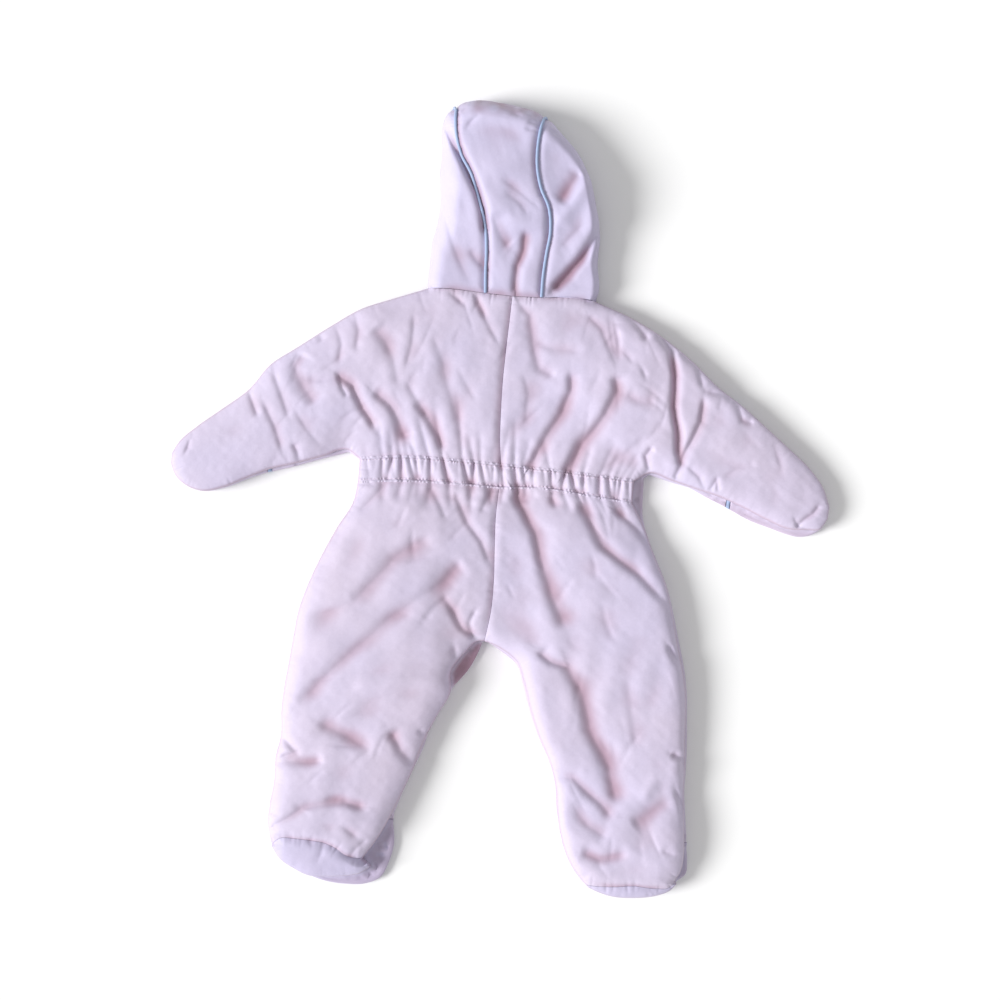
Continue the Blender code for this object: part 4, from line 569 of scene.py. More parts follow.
def foldHeights(points, rows, widen=0.0):
    # sum of the folds at each point: soft troughs and ridges along bowed lines; a row that starts
    # where the last one ends carries the same fold on
    total, run = np.zeros(len(points)), np.zeros(len(points))
    last = None
    for x1, y1, x2, y2, bow, height, left, right, keep1, keep2 in rows:
        if (x1, y1) != last:
            total += run
            run = np.zeros(len(points))
        last = (x2, y2)
        a, b = np.array([x1, y1], float), np.array([x2, y2], float)
        across = np.array([-(b - a)[1], (b - a)[0]]) / np.linalg.norm(b - a)
        middle = (a + b) / 2 + across * 2 * bow
        f = np.linspace(0, 1, foldSteps + 1)[:, None]
        line = (1 - f) ** 2 * a + 2 * f * (1 - f) * middle + f ** 2 * b
        reach = 3 * max(left, right) * (1 + widen)
        near = np.all((points > line.min(0) - reach) & (points < line.max(0) + reach), axis=1)
        local = points[near]
        best = np.full(len(local), np.inf)
        share, side = np.zeros(len(local)), np.zeros(len(local))
        for step in range(foldSteps):
            along = line[step + 1] - line[step]
            off = local - line[step]
            part = np.clip(off @ along / (along @ along), 0, 1)
            gap = np.linalg.norm(off - part[:, None] * along, axis=1)
            closer = gap < best
            best = np.where(closer, gap, best)
            share = np.where(closer, (step + part) / foldSteps, share)
            side = np.where(closer, along[0] * off[:, 1] - along[1] * off[:, 0], side)
        width = np.where(side > 0, left, right) * (1 + widen * share)
        fade = keep1 + (1 - keep1) * softStep(share / foldFade)
        fade *= keep2 + (1 - keep2) * softStep((1 - share) / foldFade)
        shaped = height * fade * foldShape(best / width, height)
        run[near] = np.maximum(run[near], shaped) if height > 0 else np.minimum(run[near], shaped)
    return total + run


def foldShape(share, height):
    # a ridge is round, and a trough has a crease along its bottom
    if height > 0:
        return np.exp(-share ** 2)
    return 0.5 * np.exp(-share ** 2) + 0.5 * np.exp(-1.5 * (np.sqrt(share ** 2 + 0.03) - 0.173))


# x and y range of the creased areas, the creases' heading in degrees and their number
wornAreas = (((-230, -90), (0, 140), 60, 10), ((-100, 0), (20, 175), 95, 9),
             ((0, 110), (20, 175), 65, 10), ((110, 240), (0, 140), 110, 10),
             ((-120, 0), (-130, -10), -125, 8), ((0, 150), (-130, -10), -60, 9),
             ((-200, -60), (-370, -130), -140, 13), ((60, 210), (-390, -130), -70, 13))


worn = {"seed": 8, "turn": 24, "length": (22, 58), "width": (1.8, 2.8), "bow": (-3, 3),
        "height": (-1.0, -0.35), "oneSided": (1, 2.2)}


def wornCreases():
    # faint short creases that wear leaves: across the sleeves, and mostly lengthwise elsewhere
    dice = np.random.default_rng(worn["seed"])
    rows = []
    for (x1, x2), (y1, y2), heading, count in wornAreas:
        for _ in range(count):
            x, y = dice.uniform(x1, x2), dice.uniform(y1, y2)
            angle = math.radians(heading + dice.normal(0, worn["turn"]))
            length, width = dice.uniform(*worn["length"]), dice.uniform(*worn["width"])
            rows.append((x, y, x + length * math.cos(angle), y + length * math.sin(angle),
                         dice.uniform(*worn["bow"]), dice.uniform(*worn["height"]), width,
                         width * dice.uniform(*worn["oneSided"]), 0, 0))
    return tuple(rows)


# pairs are how a seam's puckers and loops vary along it: the size in spacings, and by how much
pucker = {"place": (2.6, 0.45), "depth": (3.1, 0.45), "length": (2.2, 0.35), "meanDepth": 0.55,
          "meanLength": 0.75, "sharp": 6, "fade": 2.2, "depths": (0.05, 1.4)}
loop = {"place": (2.8, 0.4), "height": (3.3, 0.45), "meanHeight": 0.75, "heights": (0.2, 1.4),
        "sharp": 1.4, "shift": 0.2, "middle": 0.5, "wide": 0.55, "groove": 0.3, "grooveWidth": 0.7}


def varied(run, spacing, kind, seed):
    return kind[1] * waves(run[:, None], spacing * kind[0], seed, 9)


def seamPuckers(points, line, spacing, depth, reach, seed):
    # short troughs that run away from a seam, uneven in place, length and depth
    near = np.all((points > line.min(0) - reach) & (points < line.max(0) + reach), axis=1)
    total = np.zeros(len(points))
    if not near.any():
        return total
    gap, run, _ = placeAlong(points[near], line)
    beat = run / spacing + varied(run, spacing, pucker["place"], seed)
    trough = np.abs(np.cos(math.pi * beat)) ** pucker["sharp"]
    strong = pucker["meanDepth"] + varied(run, spacing, pucker["depth"], seed + 1)
    far = reach * (pucker["meanLength"] + varied(run, spacing, pucker["length"], seed + 2))
    reached = np.exp(-(gap / np.maximum(far, 1)) ** 2 * pucker["fade"])
    total[near] = -depth * np.clip(strong, *pucker["depths"]) * trough * reached
    return total


def ruffle(points, line, spacing, tall, reach, seed):
    # little loops of cloth that stand up beside a stitched line, and the groove of its stitches
    near = np.all((points > line.min(0) - 3 * reach) & (points < line.max(0) + 3 * reach), axis=1)
    total = np.zeros(len(points))
    if not near.any():
        return total
    gap, run, side = placeAlong(points[near], line)
    beat = run / spacing + varied(run, spacing, loop["place"], seed) + loop["shift"] * side
    loops = np.abs(np.sin(math.pi * beat)) ** loop["sharp"]
    strong = np.clip(loop["meanHeight"] + varied(run, spacing, loop["height"], seed + 1), *loop["heights"])
    hump = np.exp(-((gap - loop["middle"] * reach) / (loop["wide"] * reach)) ** 2)
    groove = loop["groove"] * np.exp(-(gap / loop["grooveWidth"]) ** 2)
    total[near] = tall * strong * loops * hump - groove
    return total


def casingY(x, edge):
    line = edge["left"] if x < 0 else edge["right"]
    points = smoothLine(line, 40)
    order = np.argsort(points[:, 0])
    return float(np.interp(x, points[order, 0], points[order, 1]))


# small gathers between the table's: x from and to, the gap between them, then the table's columns
smallGathers = {"from": -134.0, "to": 127, "gap": (6.0, 15.0),
                "columns": ((-3, 7), (0.3, 1.1), (8, 30), (-6, 6), (6, 22), (-4, 7))}


def gatherRows():
    # the waist gathers as folds: in the casing, up the back and down the seat
    band, body = [], []
    width, narrow = casing["gatherWidth"], casing["bandWidth"]
    dice = np.random.default_rng(casing["seed"])
    small, x = [], smallGathers["from"]
    while x < smallGathers["to"]:
        small.append((x, *(dice.uniform(*limits) for limits in smallGathers["columns"])))
        x += dice.uniform(*smallGathers["gap"])
    for x, lean, depth, up, upLean, down, downLean in gathers + tuple(small):
        bandDepth, depth = depth * casing["bandDepth"], depth * casing["gatherDepth"]
        top, foot = casingY(x, casingTop), casingY(x + lean, casingFoot)
        band.append((x, top, x + lean, foot, 0, -bandDepth, narrow, narrow, 1, 1))
        body.append((x, top, x + upLean, top + up, 0, -depth, width, width, 1, 0))
        body.append((x + lean, foot, x + lean + downLean, foot - down, 0, -depth, width, width, 1, 0))
    return band, body


def neckY(x):
    points = np.vstack([smoothLine(neck[side], 30) for side in ("left", "right")])
    order = np.argsort(points[:, 0])
    return np.interp(x, points[order, 0], points[order, 1])


def padding(points):
    # height of the padding above the layer line, blended between the table's rows
    rows = np.array(loft, float)
    apart = np.linalg.norm(points[:, None] - rows[None, :, :2], axis=2)
    nearest = apart.min(axis=1, keepdims=True)
    weight = np.exp(-(apart ** 2 - nearest ** 2) / loftBlend ** 2 / 2)
    return (weight * rows[:, 2]).sum(1) / weight.sum(1)


def rounded(share):
    return np.sqrt(1 - (1 - np.clip(share, 0, 1)) ** 2)


def upperOutline():
    # the free edge of the back panels, round the whole suit below the neck
    parts = []
    for side, turn in (("left", 1), ("right", -1)):
        edges = ((shoulder, 1), (underarm, -1), (outerLeg, 1), (sole, -1), (innerLeg, -1))
        half = np.vstack([smoothLine(edge[side], 60)[::way] for edge, way in edges])
        parts.append(half[::turn])
    return np.vstack(parts)


def seamLines(tables):
    lines = []
    for table in tables:
        sides = (table["left"], table["right"]) if isinstance(table, dict) else (table,)
        lines += [smoothLine(line) for line in sides]
    return lines


padded = {"rim": 1.2, "thinnest": 2.2, "leastLeft": 0.6,
          "edgeTurns": ((0.3, 2.5), (0.4, 18.0), (0.3, 60.0)),
          "seamDip": 1.9, "seamDipWidth": 4.5, "seamCrease": 0.5, "creaseWidth": 1.1,
          "seamStep": 0.7, "seamStepWidth": 6.0, "bulk": 0.55, "bulkSize": 40.0,
          "bulkCalm": 9.0, "fine": 0.1, "fineSize": 9.0, "bandDip": 1.4, "bandDipWidth": 4.0,
          "wander": 0.8, "wanderSize": 45.0,
          "ruffle": (4.6, 1.4, 2.2), "edgePuckers": (9.0, 0.9, 12.0)}  # spacing, height, reach


def wander(points):
    # folds and seams never run quite true
    return points + padded["wander"] * np.stack([waves(points, padded["wanderSize"], seed)
                                                 for seed in seeds["wander"]], axis=1)


# puckered seams, then the puckers' spacing, depth and reach
seamPuckerRows = ((backSeamTop, 9.0, 0.5, 9.0), (backSeamSeat, 8.0, 0.6, 9.0),
                  (neck["left"], 7.0, 0.9, 12.0), (neck["right"], 7.0, 0.9, 12.0),
                  (heel["left"], 7.0, 1.0, 11.0), (heel["right"], 7.0, 1.0, 11.0))


def upperHeight(plan, gatherFolds, fine=True):
    # height of the back panels' outer face at plan points; the fine part is what sewing does to it
    points = plan.reshape(-1, 2)
    rim = distanceTo(points, upperOutline())
    edge = sum(share * rounded(rim / roll) for share, roll in padded["edgeTurns"])
    seams, bandLines = seamLines((backSeamTop, backSeamSeat, neck, heel)), seamLines((casingTop, casingFoot))
    seam = np.min([distanceTo(points, line) for line in seams], axis=0)
    band = np.min([distanceTo(points, line) for line in bandLines], axis=0)
    moved = wander(points)
    full = padding(points) + foldHeights(moved, foldRows()) + foldHeights(points, gatherFolds, gatherSpread)
    calm = 1 - np.exp(-(np.minimum(seam, band) / padded["bulkCalm"]) ** 2)
    full += padded["bulk"] * waves(points, padded["bulkSize"], seeds["bulk"]) * calm
    full -= padded["seamDip"] * np.exp(-(seam / padded["seamDipWidth"]) ** 2)
    full -= padded["bandDip"] * np.exp(-(band / padded["bandDipWidth"]) ** 2)
    for table, way in ((backSeamTop, -1), (backSeamSeat, 1)):
        gap, _, side = placeAlong(points, smoothLine(table))
        full += padded["seamStep"] * (side * way > 0) * np.exp(-(gap / padded["seamStepWidth"]) ** 2)
    if fine:
        full += foldHeights(moved, creases + wornCreases())
        full += padded["fine"] * waves(points, padded["fineSize"], seeds["fine"])
        full -= padded["seamCrease"] * np.exp(-(seam / padded["creaseWidth"]) ** 2)
        for number, line in enumerate(bandLines):
            full += ruffle(points, line, *padded["ruffle"], seeds["bands"] + 5 * number)
        for number, (table, *puckers) in enumerate(seamPuckerRows):
            full += seamPuckers(points, smoothLine(table), *puckers, seeds["seams"] + 3 * number)
        full += seamPuckers(points, upperOutline(), *padded["edgePuckers"], seeds["edge"])
    full = np.maximum(full, padded["thinnest"])
    height = layer + layerGap + padded["rim"] + edge * (full - padded["rim"])
    return height.reshape(plan.shape[:-1])


def toWorld(points):
    moved = np.array(points, float)
    moved[..., 0] -= planCentre[0]
    moved[..., 1] -= planCentre[1]
    return moved * mm


def meshPiece(name, places, faces, cut, paintedShade, finish):
    # one mesh object from points in metres, its UV map in metres, and its fold attribute of painted shade
    mesh = bpy.data.meshes.new(name)
    mesh.from_pydata(places.tolist(), [], faces)
    chart = mesh.uv_layers.new(name="cut")
    corners = np.zeros(len(mesh.loops), int)
    mesh.loops.foreach_get("vertex_index", corners)
    chart.data.foreach_set("uv", np.asarray(cut, float)[corners].ravel())
    depth = mesh.attributes.new("fold", "FLOAT", "POINT")
    depth.data.foreach_set("value", np.asarray(paintedShade, float))
    mesh.materials.append(finish)
    mesh.shade_smooth()
    piece = bpy.data.objects.new(name, mesh)
    bpy.context.scene.collection.objects.link(piece)
    return piece


def gridFaces(rows, columns, start=0, flip=False):
    i, j = np.meshgrid(np.arange(rows - 1), np.arange(columns - 1), indexing="ij")
    a = (start + i * columns + j).ravel()
    quads = np.stack([a, a + 1, a + columns + 1, a + columns], axis=1)
    return (quads[:, ::-1] if flip else quads).tolist()


def gridRim(rows, columns):
    # the grid's border points, once round
    top = list(range(columns - 1))
    right = [i * columns + columns - 1 for i in range(rows - 1)]
    foot = [(rows - 1) * columns + j for j in range(columns - 1, 0, -1)]
    left = [i * columns for i in range(rows - 1, 0, -1)]
    return top + right + foot + left


def rimFaces(rim, other):
    # faces between two rims with as many points
    count = len(rim)
    return [[rim[(k + 1) % count], rim[k], other[k], other[(k + 1) % count]] for k in range(count)]


def ringFaces(rings, count, start=0):
    # faces of a tube, from rings with as many points
    faces = []
    for row in range(rings - 1):
        for k in range(count):
            a, b = start + row * count + k, start + row * count + (k + 1) % count
            faces.append([a, b, b + count, a + count])
    return faces


def smoothed(values, rounds):
    # a grid's values, evened out with their neighbours
    for _ in range(rounds):
        wide = np.pad(values, 1, mode="edge")
        values = (wide[:-2, 1:-1] + wide[2:, 1:-1] + wide[1:-1, :-2] + wide[1:-1, 2:]) / 4
    return values


# painted shade: how strongly the hollows between the folds, the outer edge and the rim's walls are darkened
# towards the fold shade colour
shade = {"near": 4, "far": 80, "deepest": 1.9, "share": 0.85, "evened": 5, "from": 4, "fade": 10,
         "edge": 0.5, "edgeWidth": 2.8, "rim": 0.4}


def hollowShade(level):
    # how deep each point of a grid lies below its surroundings, from 0 to 1, as the painted shade of its
    # hollow
    near, far = smoothed(level, shade["near"]), smoothed(level, shade["far"])
    return shade["share"] * smoothed(np.clip((far - near) / shade["deepest"], 0, 1), shade["evened"])


hardEdge = 60       # degrees


def faceOutward(piece, sharp=None, split=False, recount=False):
    # turn a closed piece's faces outward, with hard edges where it bends by over sharp degrees
    data = bmesh.new()
    data.from_mesh(piece.data)
    if split:
        large = [face for face in data.faces if len(face.verts) > 4]
        bmesh.ops.triangulate(data, faces=large, ngon_method="EAR_CLIP")
    if recount:
        bmesh.ops.recalc_face_normals(data, faces=data.faces[:])
    if data.calc_volume(signed=True) < 0:
        bmesh.ops.reverse_faces(data, faces=data.faces[:])
    if sharp:
        for edge in data.edges:
            edge.smooth = edge.calc_face_angle(0) < math.radians(sharp)
    data.to_mesh(piece.data)
    data.free()


def sewIn(piece, node):
    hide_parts(node)
    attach(piece, "suit")


def upperPiece(name, plan, gatherFolds, finish, slack=None, stand=0.0, lapFolds=()):
    # a back panel: its shaped face, a rim down to the layer line and a plain underside
    rows, columns = plan.shape[:2]
    underside = layer + layerGap
    places = np.dstack([plan, upperHeight(plan, gatherFolds)])
    if stand:
        # both edges lie on the panels they lap over, and the band between them stands up
        for lap in (np.s_[:, :casing["lapRows"]], np.s_[:, -casing["lapRows"]:]):
            places[lap + (2,)] = upperHeight(plan[lap], lapFolds)
        row = np.arange(columns)
        inward = np.minimum(row, columns - 1 - row)
        places[..., 2] += lapLift + stand * softStep(inward / casing["riseRows"])
    if slack:
        held = np.zeros((rows, columns))
        held[[0, -1]] = held[:, [0, -1]] = 1
        plain = np.dstack([plan, upperHeight(plan, gatherFolds, False)])
        places += settleCloth(name, plain, held, slack)
        places[..., 2] = np.maximum(places[..., 2], underside + padded["leastLeft"])
    level = places[..., 2]
    top = toWorld(places).reshape(-1, 3)
    rim = gridRim(rows, columns)
    low = top[rim].copy()
    low[:, 2] = underside * mm
    lowRim = [len(top) + k for k in range(len(rim))]
    faces = gridFaces(rows, columns) + rimFaces(rim, lowRim) + [lowRim[::-1]]
    cut = np.vstack([top[:, :2], low[:, :2]])
    # painted shade: a dark line along the outer edge where the padding turns under, darker hollows between
    # the folds, and darkened rim walls
    rimGap = distanceTo(plan.reshape(-1, 2), upperOutline())
    turned = shade["edge"] * (1 - softStep(rimGap / shade["edgeWidth"]))
    paintedShade = hollowShade(level).ravel() * softStep((rimGap - shade["from"]) / shade["fade"]) + turned
    piece = meshPiece(name, np.vstack([top, low]), faces, cut,
                      np.concatenate([paintedShade, np.full(len(rim), shade["rim"])]), finish)
    faceOutward(piece, hardEdge, split=True)
    return piece


def longPatch(low, high, start, end, share):
    # Coons patch from the low to the high edge at the given shares of the way
    run = runAlong(low + high)
    s = (run / run[-1])[:, None, None]
    t = np.asarray(share)[None, :, None]
    corners = (1 - s) * ((1 - t) * low[0] + t * high[0]) + s * ((1 - t) * low[-1] + t * high[-1])
    return (1 - t) * low[:, None] + t * high[:, None] + (1 - s) * start[None] + s * end[None] - corners


def drawBack(plan, edge, beside, mask=slice(None)):
    # move part of a patch's edge back from its seam, towards the line beside it
    plan[edge][mask] += unit(plan[beside][mask] - plan[edge][mask]) * seamGap


def edgeShare(count, pinch=0.35):
    # grid shares that crowd a little at both edges
    even = np.linspace(0, 1, count + 1)
    return (1 - pinch) * even + pinch * (1 - np.cos(math.pi * even)) / 2


# the solver works on a sheet ten times as large, where its settings are steadier
settle = {"step": 2, "frames": 14, "hold": 0.12, "pressure": 0.08, "cap": 4.0, "size": 10.0}
clothSettings = {"quality": 5, "mass": 0.2, "tension_stiffness": 15, "compression_stiffness": 15,
                 "shear_stiffness": 8, "bending_stiffness": 1.5, "air_damping": 2, "pin_stiffness": 0.5}


def settleCloth(name, places, held, slack, way=1):
    # how far each point moves when a sheet with a little spare cloth buckles between its seams;
    # held is 1 where it is sewn, and way is the side that the padding presses to
    rows, columns = places.shape[:2]
    someRows = np.unique(np.append(np.arange(0, rows, settle["step"]), rows - 1))
    someColumns = np.unique(np.append(np.arange(0, columns, settle["step"]), columns - 1))
    coarse = places[np.ix_(someRows, someColumns)]
    shape = coarse.shape[:2]
    scale = settle["size"] * mm
    mesh = bpy.data.meshes.new(name)
    mesh.from_pydata((coarse.reshape(-1, 3) * scale).tolist(), [], gridFaces(*shape))
    sheet = bpy.data.objects.new(name, mesh)
    bpy.context.scene.collection.objects.link(sheet)
    sheet.shape_key_add(name="as laid")
    cutShape = sheet.shape_key_add(name="as cut")
    spare = np.array([1 + slack[0], 1 + slack[1], 1])
    cutShape.data.foreach_set("co", (coarse * scale * spare).ravel())
    grip = sheet.vertex_groups.new(name="sewn")
    for number, value in enumerate(np.clip(held[np.ix_(someRows, someColumns)].ravel(), settle["hold"], 1)):
        grip.add([number], float(value), "REPLACE")
    cloth = sheet.modifiers.new("cloth", "CLOTH")
    for setting, value in clothSettings.items():
        setattr(cloth.settings, setting, value)
    cloth.settings.vertex_group_mass = "sewn"
    cloth.settings.rest_shape_key = cutShape
    cloth.settings.use_pressure = True
    cloth.settings.uniform_pressure_force = settle["pressure"] * way
    cloth.settings.effector_weights.gravity = 0
    cloth.collision_settings.use_collision = False
    cloth.point_cache.frame_start, cloth.point_cache.frame_end = 1, settle["frames"]
    for number in range(1, settle["frames"] + 1):
        bpy.context.scene.frame_set(number)
    shown = sheet.evaluated_get(bpy.context.evaluated_depsgraph_get())
    ended = np.zeros(len(shown.data.vertices) * 3)
    shown.data.vertices.foreach_get("co", ended)
    moved = ended.reshape(*shape, 3) / scale - coarse
    bpy.context.scene.frame_set(1)
    bpy.data.objects.remove(sheet, do_unlink=True)
    length = np.linalg.norm(moved, axis=2, keepdims=True)
    moved *= settle["cap"] * np.tanh(length / settle["cap"]) / np.maximum(length, 1e-9)
    print("settled", name, "by up to %.1f mm" % length.max())
    full = np.zeros(places.shape)
    for k in range(3):
        wide = np.array([np.interp(np.arange(columns), someColumns, line) for line in moved[..., k]])
        full[..., k] = np.array([np.interp(np.arange(rows), someRows, line) for line in wide.T]).T
    return full


back = {"spacing": 1.5, "rows": 110, "slack": (0.018, 0.008), "flat": (0.336, 0.222), "area": 0.047}


def makeBack(side, gatherFolds):
    low, high = [casingTop[side], underarm[side]], [neck[side], shoulder[side]]
    steps = chainSteps(low[:1])
    stations = evenStations([low, high], back["spacing"], keep=(steps,))
    share = edgeShare(back["rows"])
    tipLow, tipHigh = chainAt(low, stations[-1:]), chainAt(high, stations[-1:])
    plan = longPatch(chainAt(low, stations), chainAt(high, stations), curveAt(backSeamTop, share),
                     tipLow + (tipHigh - tipLow) * share[:, None], share)
    drawBack(plan, np.s_[:, 0], np.s_[:, 1], stations <= steps)
    drawBack(plan, np.s_[:, -1], np.s_[:, -2], stations <= steps)
    drawBack(plan, np.s_[0], np.s_[1])
    piece = upperPiece("back_%s_cloth" % side, plan, gatherFolds, cloths["shell"], back["slack"])
    sewIn(piece, "back_" + side)


lapLift = 0.12      # the casing's edges lie this far above the panels they lap over
casing = {"columns": 340, "rows": 30, "lap": 0.09, "stand": 0.8, "scallop": 0.3, "scallopSize": 6.0,
          "lapRows": 3, "riseRows": 3.5,
          "gatherWidth": 2.2, "bandWidth": 1.7, "gatherDepth": 0.62, "bandDepth": 1.05, "seed": 5,
          "flat": (0.37, 0.026)}


def makeCasing(gatherFolds, lapFolds):
    halves = []
    for side in ("left", "right"):
        stations = np.linspace(0, 1, casing["columns"] // 2 + 1)
        edges = [curveAt(table[side], stations) for table in (casingFoot, casingTop)]
        halves.append(np.stack(edges, axis=1))
    ends = np.concatenate([halves[0][::-1], halves[1][1:]])
    share = np.linspace(-casing["lap"], 1 + casing["lap"], casing["rows"] + 1)
    plan = ends[:, :1] + (ends[:, 1:] - ends[:, :1]) * share[None, :, None]
    # the lapped edges are uneven between their stitches
    for edge, seed in zip((0, -1), seeds["scallops"]):
        uneven = casing["scallop"] * waves(plan[:, edge, :1], casing["scallopSize"], seed, 12)
        plan[:, edge, 1] += uneven
        plan[:, edge + (1 if edge == 0 else -1), 1] += 0.5 * uneven
    piece = upperPiece("waist_casing_cloth", plan, gatherFolds, cloths["shell"],
                       stand=casing["stand"], lapFolds=lapFolds)
    sewIn(piece, "waist_casing")


leg = {"spacing": 1.5, "columns": 92, "slack": (0.018, 0.004), "flat": (0.216, 0.391), "area": 0.064}


def makeLeg(side, gatherFolds):
    share = edgeShare(leg["columns"])
    inner, outer = [backSeamSeat, innerLeg[side]], [outerLeg[side]]
    count = chainSteps(inner)
    fine = evenStations([inner], leg["spacing"])
    steps = fine / count * chainSteps(outer)
    plan = longPatch(chainAt(inner, fine), chainAt(outer, steps), curveAt(casingFoot[side], share),
                     curveAt(heel[side], share), share)
    drawBack(plan, np.s_[0], np.s_[1])
    drawBack(plan, np.s_[-1], np.s_[-2])
    drawBack(plan, np.s_[:, 0], np.s_[:, 1], fine <= chainSteps(inner[:1]))
    piece = upperPiece("leg_back_%s_cloth" % side, plan, gatherFolds, cloths["shell"], leg["slack"])
    sewIn(piece, "leg_back_" + side)


soles = {"columns": 96, "rows": 22, "flat": {"left": (0.104, 0.042), "right": (0.093, 0.024)},
         "area": {"left": 0.0041, "right": 0.0018}}


def makeSole(side, gatherFolds):
    along = np.linspace(0, 1, soles["columns"] + 1)
    edge, toe = curveAt(heel[side], along), curveAt(sole[side], along)
    share = edgeShare(soles["rows"])
    plan = edge[:, None] + (toe - edge)[:, None] * share[None, :, None]
    drawBack(plan, np.s_[:, 0], np.s_[:, 1])
    piece = upperPiece("sole_%s_cloth" % side, plan, gatherFolds, cloths["sole"])
    sewIn(piece, "sole_" + side)


stitching = {"pitch": 3.4, "length": 2.2, "thick": 0.26, "inset": 1.3, "sides": 6, "lift": 0.08,
             "along": np.array([0.0, 0.22, 0.5, 0.78, 1.0]), "swell": (0.15, 0.85, 1.0, 0.85, 0.15)}


def makeStitches(bandFolds):
    # the thread that holds both edges of the casing: one small bead a stitch, all one piece
    spots = []
    for table, way in ((casingTop, -1), (casingFoot, 1)):
        for side in ("left", "right"):
            line = smoothLine(table[side], 200)
            run = runAlong(line)
            for begin in np.arange(1.2, run[-1] - stitching["length"], stitching["pitch"]):
                along = begin + stitching["length"] * stitching["along"]
                spots.append(np.stack([np.interp(along, run, line[:, k]) for k in (0, 1)], axis=1))
                spots[-1][:, 1] += way * stitching["inset"]
    spots = np.array(spots)
    level = upperHeight(spots.reshape(-1, 2), bandFolds).reshape(spots.shape[:2])
    level += lapLift + casing["stand"] + stitching["lift"]
    points, faces = [], []
    ring, rings = stitching["sides"], len(stitching["along"])
    around = np.linspace(0, 2 * math.pi, ring, endpoint=False)
    for plan, z in zip(spots, level):
        ahead = unit(plan[-1] - plan[0])
        start = len(points)
        for k, swell in enumerate(stitching["swell"]):
            for turn in around:
                off = stitching["thick"] * swell * math.cos(turn)
                points.append((plan[k][0] - ahead[1] * off, plan[k][1] + ahead[0] * off,
                               z[k] + stitching["thick"] * swell * math.sin(turn)))
        faces += ringFaces(rings, ring, start)
        faces.append([start + j for j in range(ring)][::-1])
        faces.append([start + (rings - 1) * ring + j for j in range(ring)])
    places = toWorld(np.array(points))
    piece = meshPiece("casing_stitching", places, faces, places[:, :2], np.zeros(len(places)),
                      cloths["thread"])
    faceOutward(piece)
    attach(piece, "suit")


bandFolds, bodyFolds = gatherRows()
for side in ("left", "right"):
    makeBack(side, bodyFolds)
    makeLeg(side, bodyFolds)
    makeSole(side, [])
makeCasing(bandFolds, bodyFolds)
makeStitches(bandFolds)
print("back, seat and legs are laid")


hood = {"wall": 4.0, "rollNeck": 15.0, "rollCrown": 22.0, "rollRight": 0.45, "underRoll": 11.0,
        "sideTop": 0.62, "centreTop": 0.8, "rows": 132, "sideColumns": 54, "turnColumns": 16,
        "centreColumns": 58, "pipingDip": 2.6, "pipingUnderDip": 4.6, "slack": (0.014, 0.008),
        "bulk": 0.6, "bulkSize": 30.0, "fine": 0.06, "fineSize": 8.0, "crownFrom": 348,
        "crownFade": 14, "crownShadePatches": 16.0, "crownShade": 0.6, "foldShade": 1.3,
        "puckers": (6.0, 0.9, 9.0), "foldFade": 15, "bulkCalm": 8.0, "rollOver": (180, 235),
        "rollAcross": (10, 55), "heldBelow": 3, "hold": 0.8, "lowest": 0.05, "evened": 3,
        "shadeFrom": 4, "shadeFade": 12,
        "centreInset": ((0.006, 0), (0.02, 0.02)), "sideInset": ((0.008, 0.03), (0.01, 0)),
        "flat": {"side": (0.125, 0.19), "centre": (0.104, 0.27)},
        "area": {"side": 0.0195, "centre": 0.0196}}


def hoodOutline():
    return np.vstack([smoothLine(hoodWidest["left"], 160), smoothLine(crownEdge, 160),
                      smoothLine(hoodWidest["right"], 160)[::-1]])


def hoodHeight(plan):
    points = plan.reshape(-1, 2)
    roll = np.interp(points[:, 1], hood["rollOver"], (hood["rollNeck"], hood["rollCrown"]))
    roll *= np.interp(points[:, 0], hood["rollAcross"], (1, hood["rollRight"]))
    inside = np.maximum(distanceTo(points, hoodOutline()) - 0.06, 0)
    height = layer + rounded(inside / roll) * padding(points)
    return height.reshape(plan.shape[:-1])


def underHeight(plan, widest):
    # height of the hood's outer face where it turns under, from its widest line
    gap = np.linalg.norm(plan - widest, axis=-1)
    return layer * (1 - rounded(gap / hood["underRoll"]))


def hoodSideFace(side, s, t):
    # smooth outer face of a side: from the piping over the widest line to the hem
    pipe, wide, hem = (curveAt(table[side], s)[:, None] for table in (piping, hoodWidest, faceHem))
    top = hood["sideTop"]
    above = np.sin(np.clip(t / top, 0, 1) * math.pi / 2)[None, :, None]
    below = 1 - np.cos(np.clip((t - top) / (1 - top), 0, 1) * math.pi / 2)
    plan = pipe + (wide - pipe) * above + (hem - wide) * below[None, :, None]
    level = np.where(t[None] <= top, hoodHeight(plan), underHeight(plan, wide))
    return np.dstack([plan, level])


def hoodSeam(side, stations):
    # the piping's line in the plan, on to the crown's edge as one more step
    return chainAt([piping[side], (piping[side][-1], hoodWidest[side][-1])], stations)


def hoodCentreFace(s, t):
    # smooth outer face of the centre strip: neck, crown, then under to the brow hem
    full, top = len(piping["left"]), hood["centreTop"]
    q = np.clip(s / top, 0, 1) * full
    left, right = (hoodSeam(side, q)[:, None] for side in ("left", "right"))
    crown = curveAt(crownEdge, t)
    first, last = np.array(crownEdge[0]), np.array(crownEdge[-1])
    chord = first + (last - first) * t[:, None]
    bow = (crown - chord)[None] * (q / full)[:, None, None] ** 4
    below = 1 - np.cos(np.clip((s - top) / (1 - top), 0, 1) * math.pi / 2)
    brow = (curveAt(browHem, t) - crown)[None] * below[:, None, None]
    plan = left + (right - left) * t[None, :, None] + bow + brow
    level = np.where(s[:, None] <= top, hoodHeight(plan), underHeight(plan, crown[None]))
    return np.dstack([plan, level])


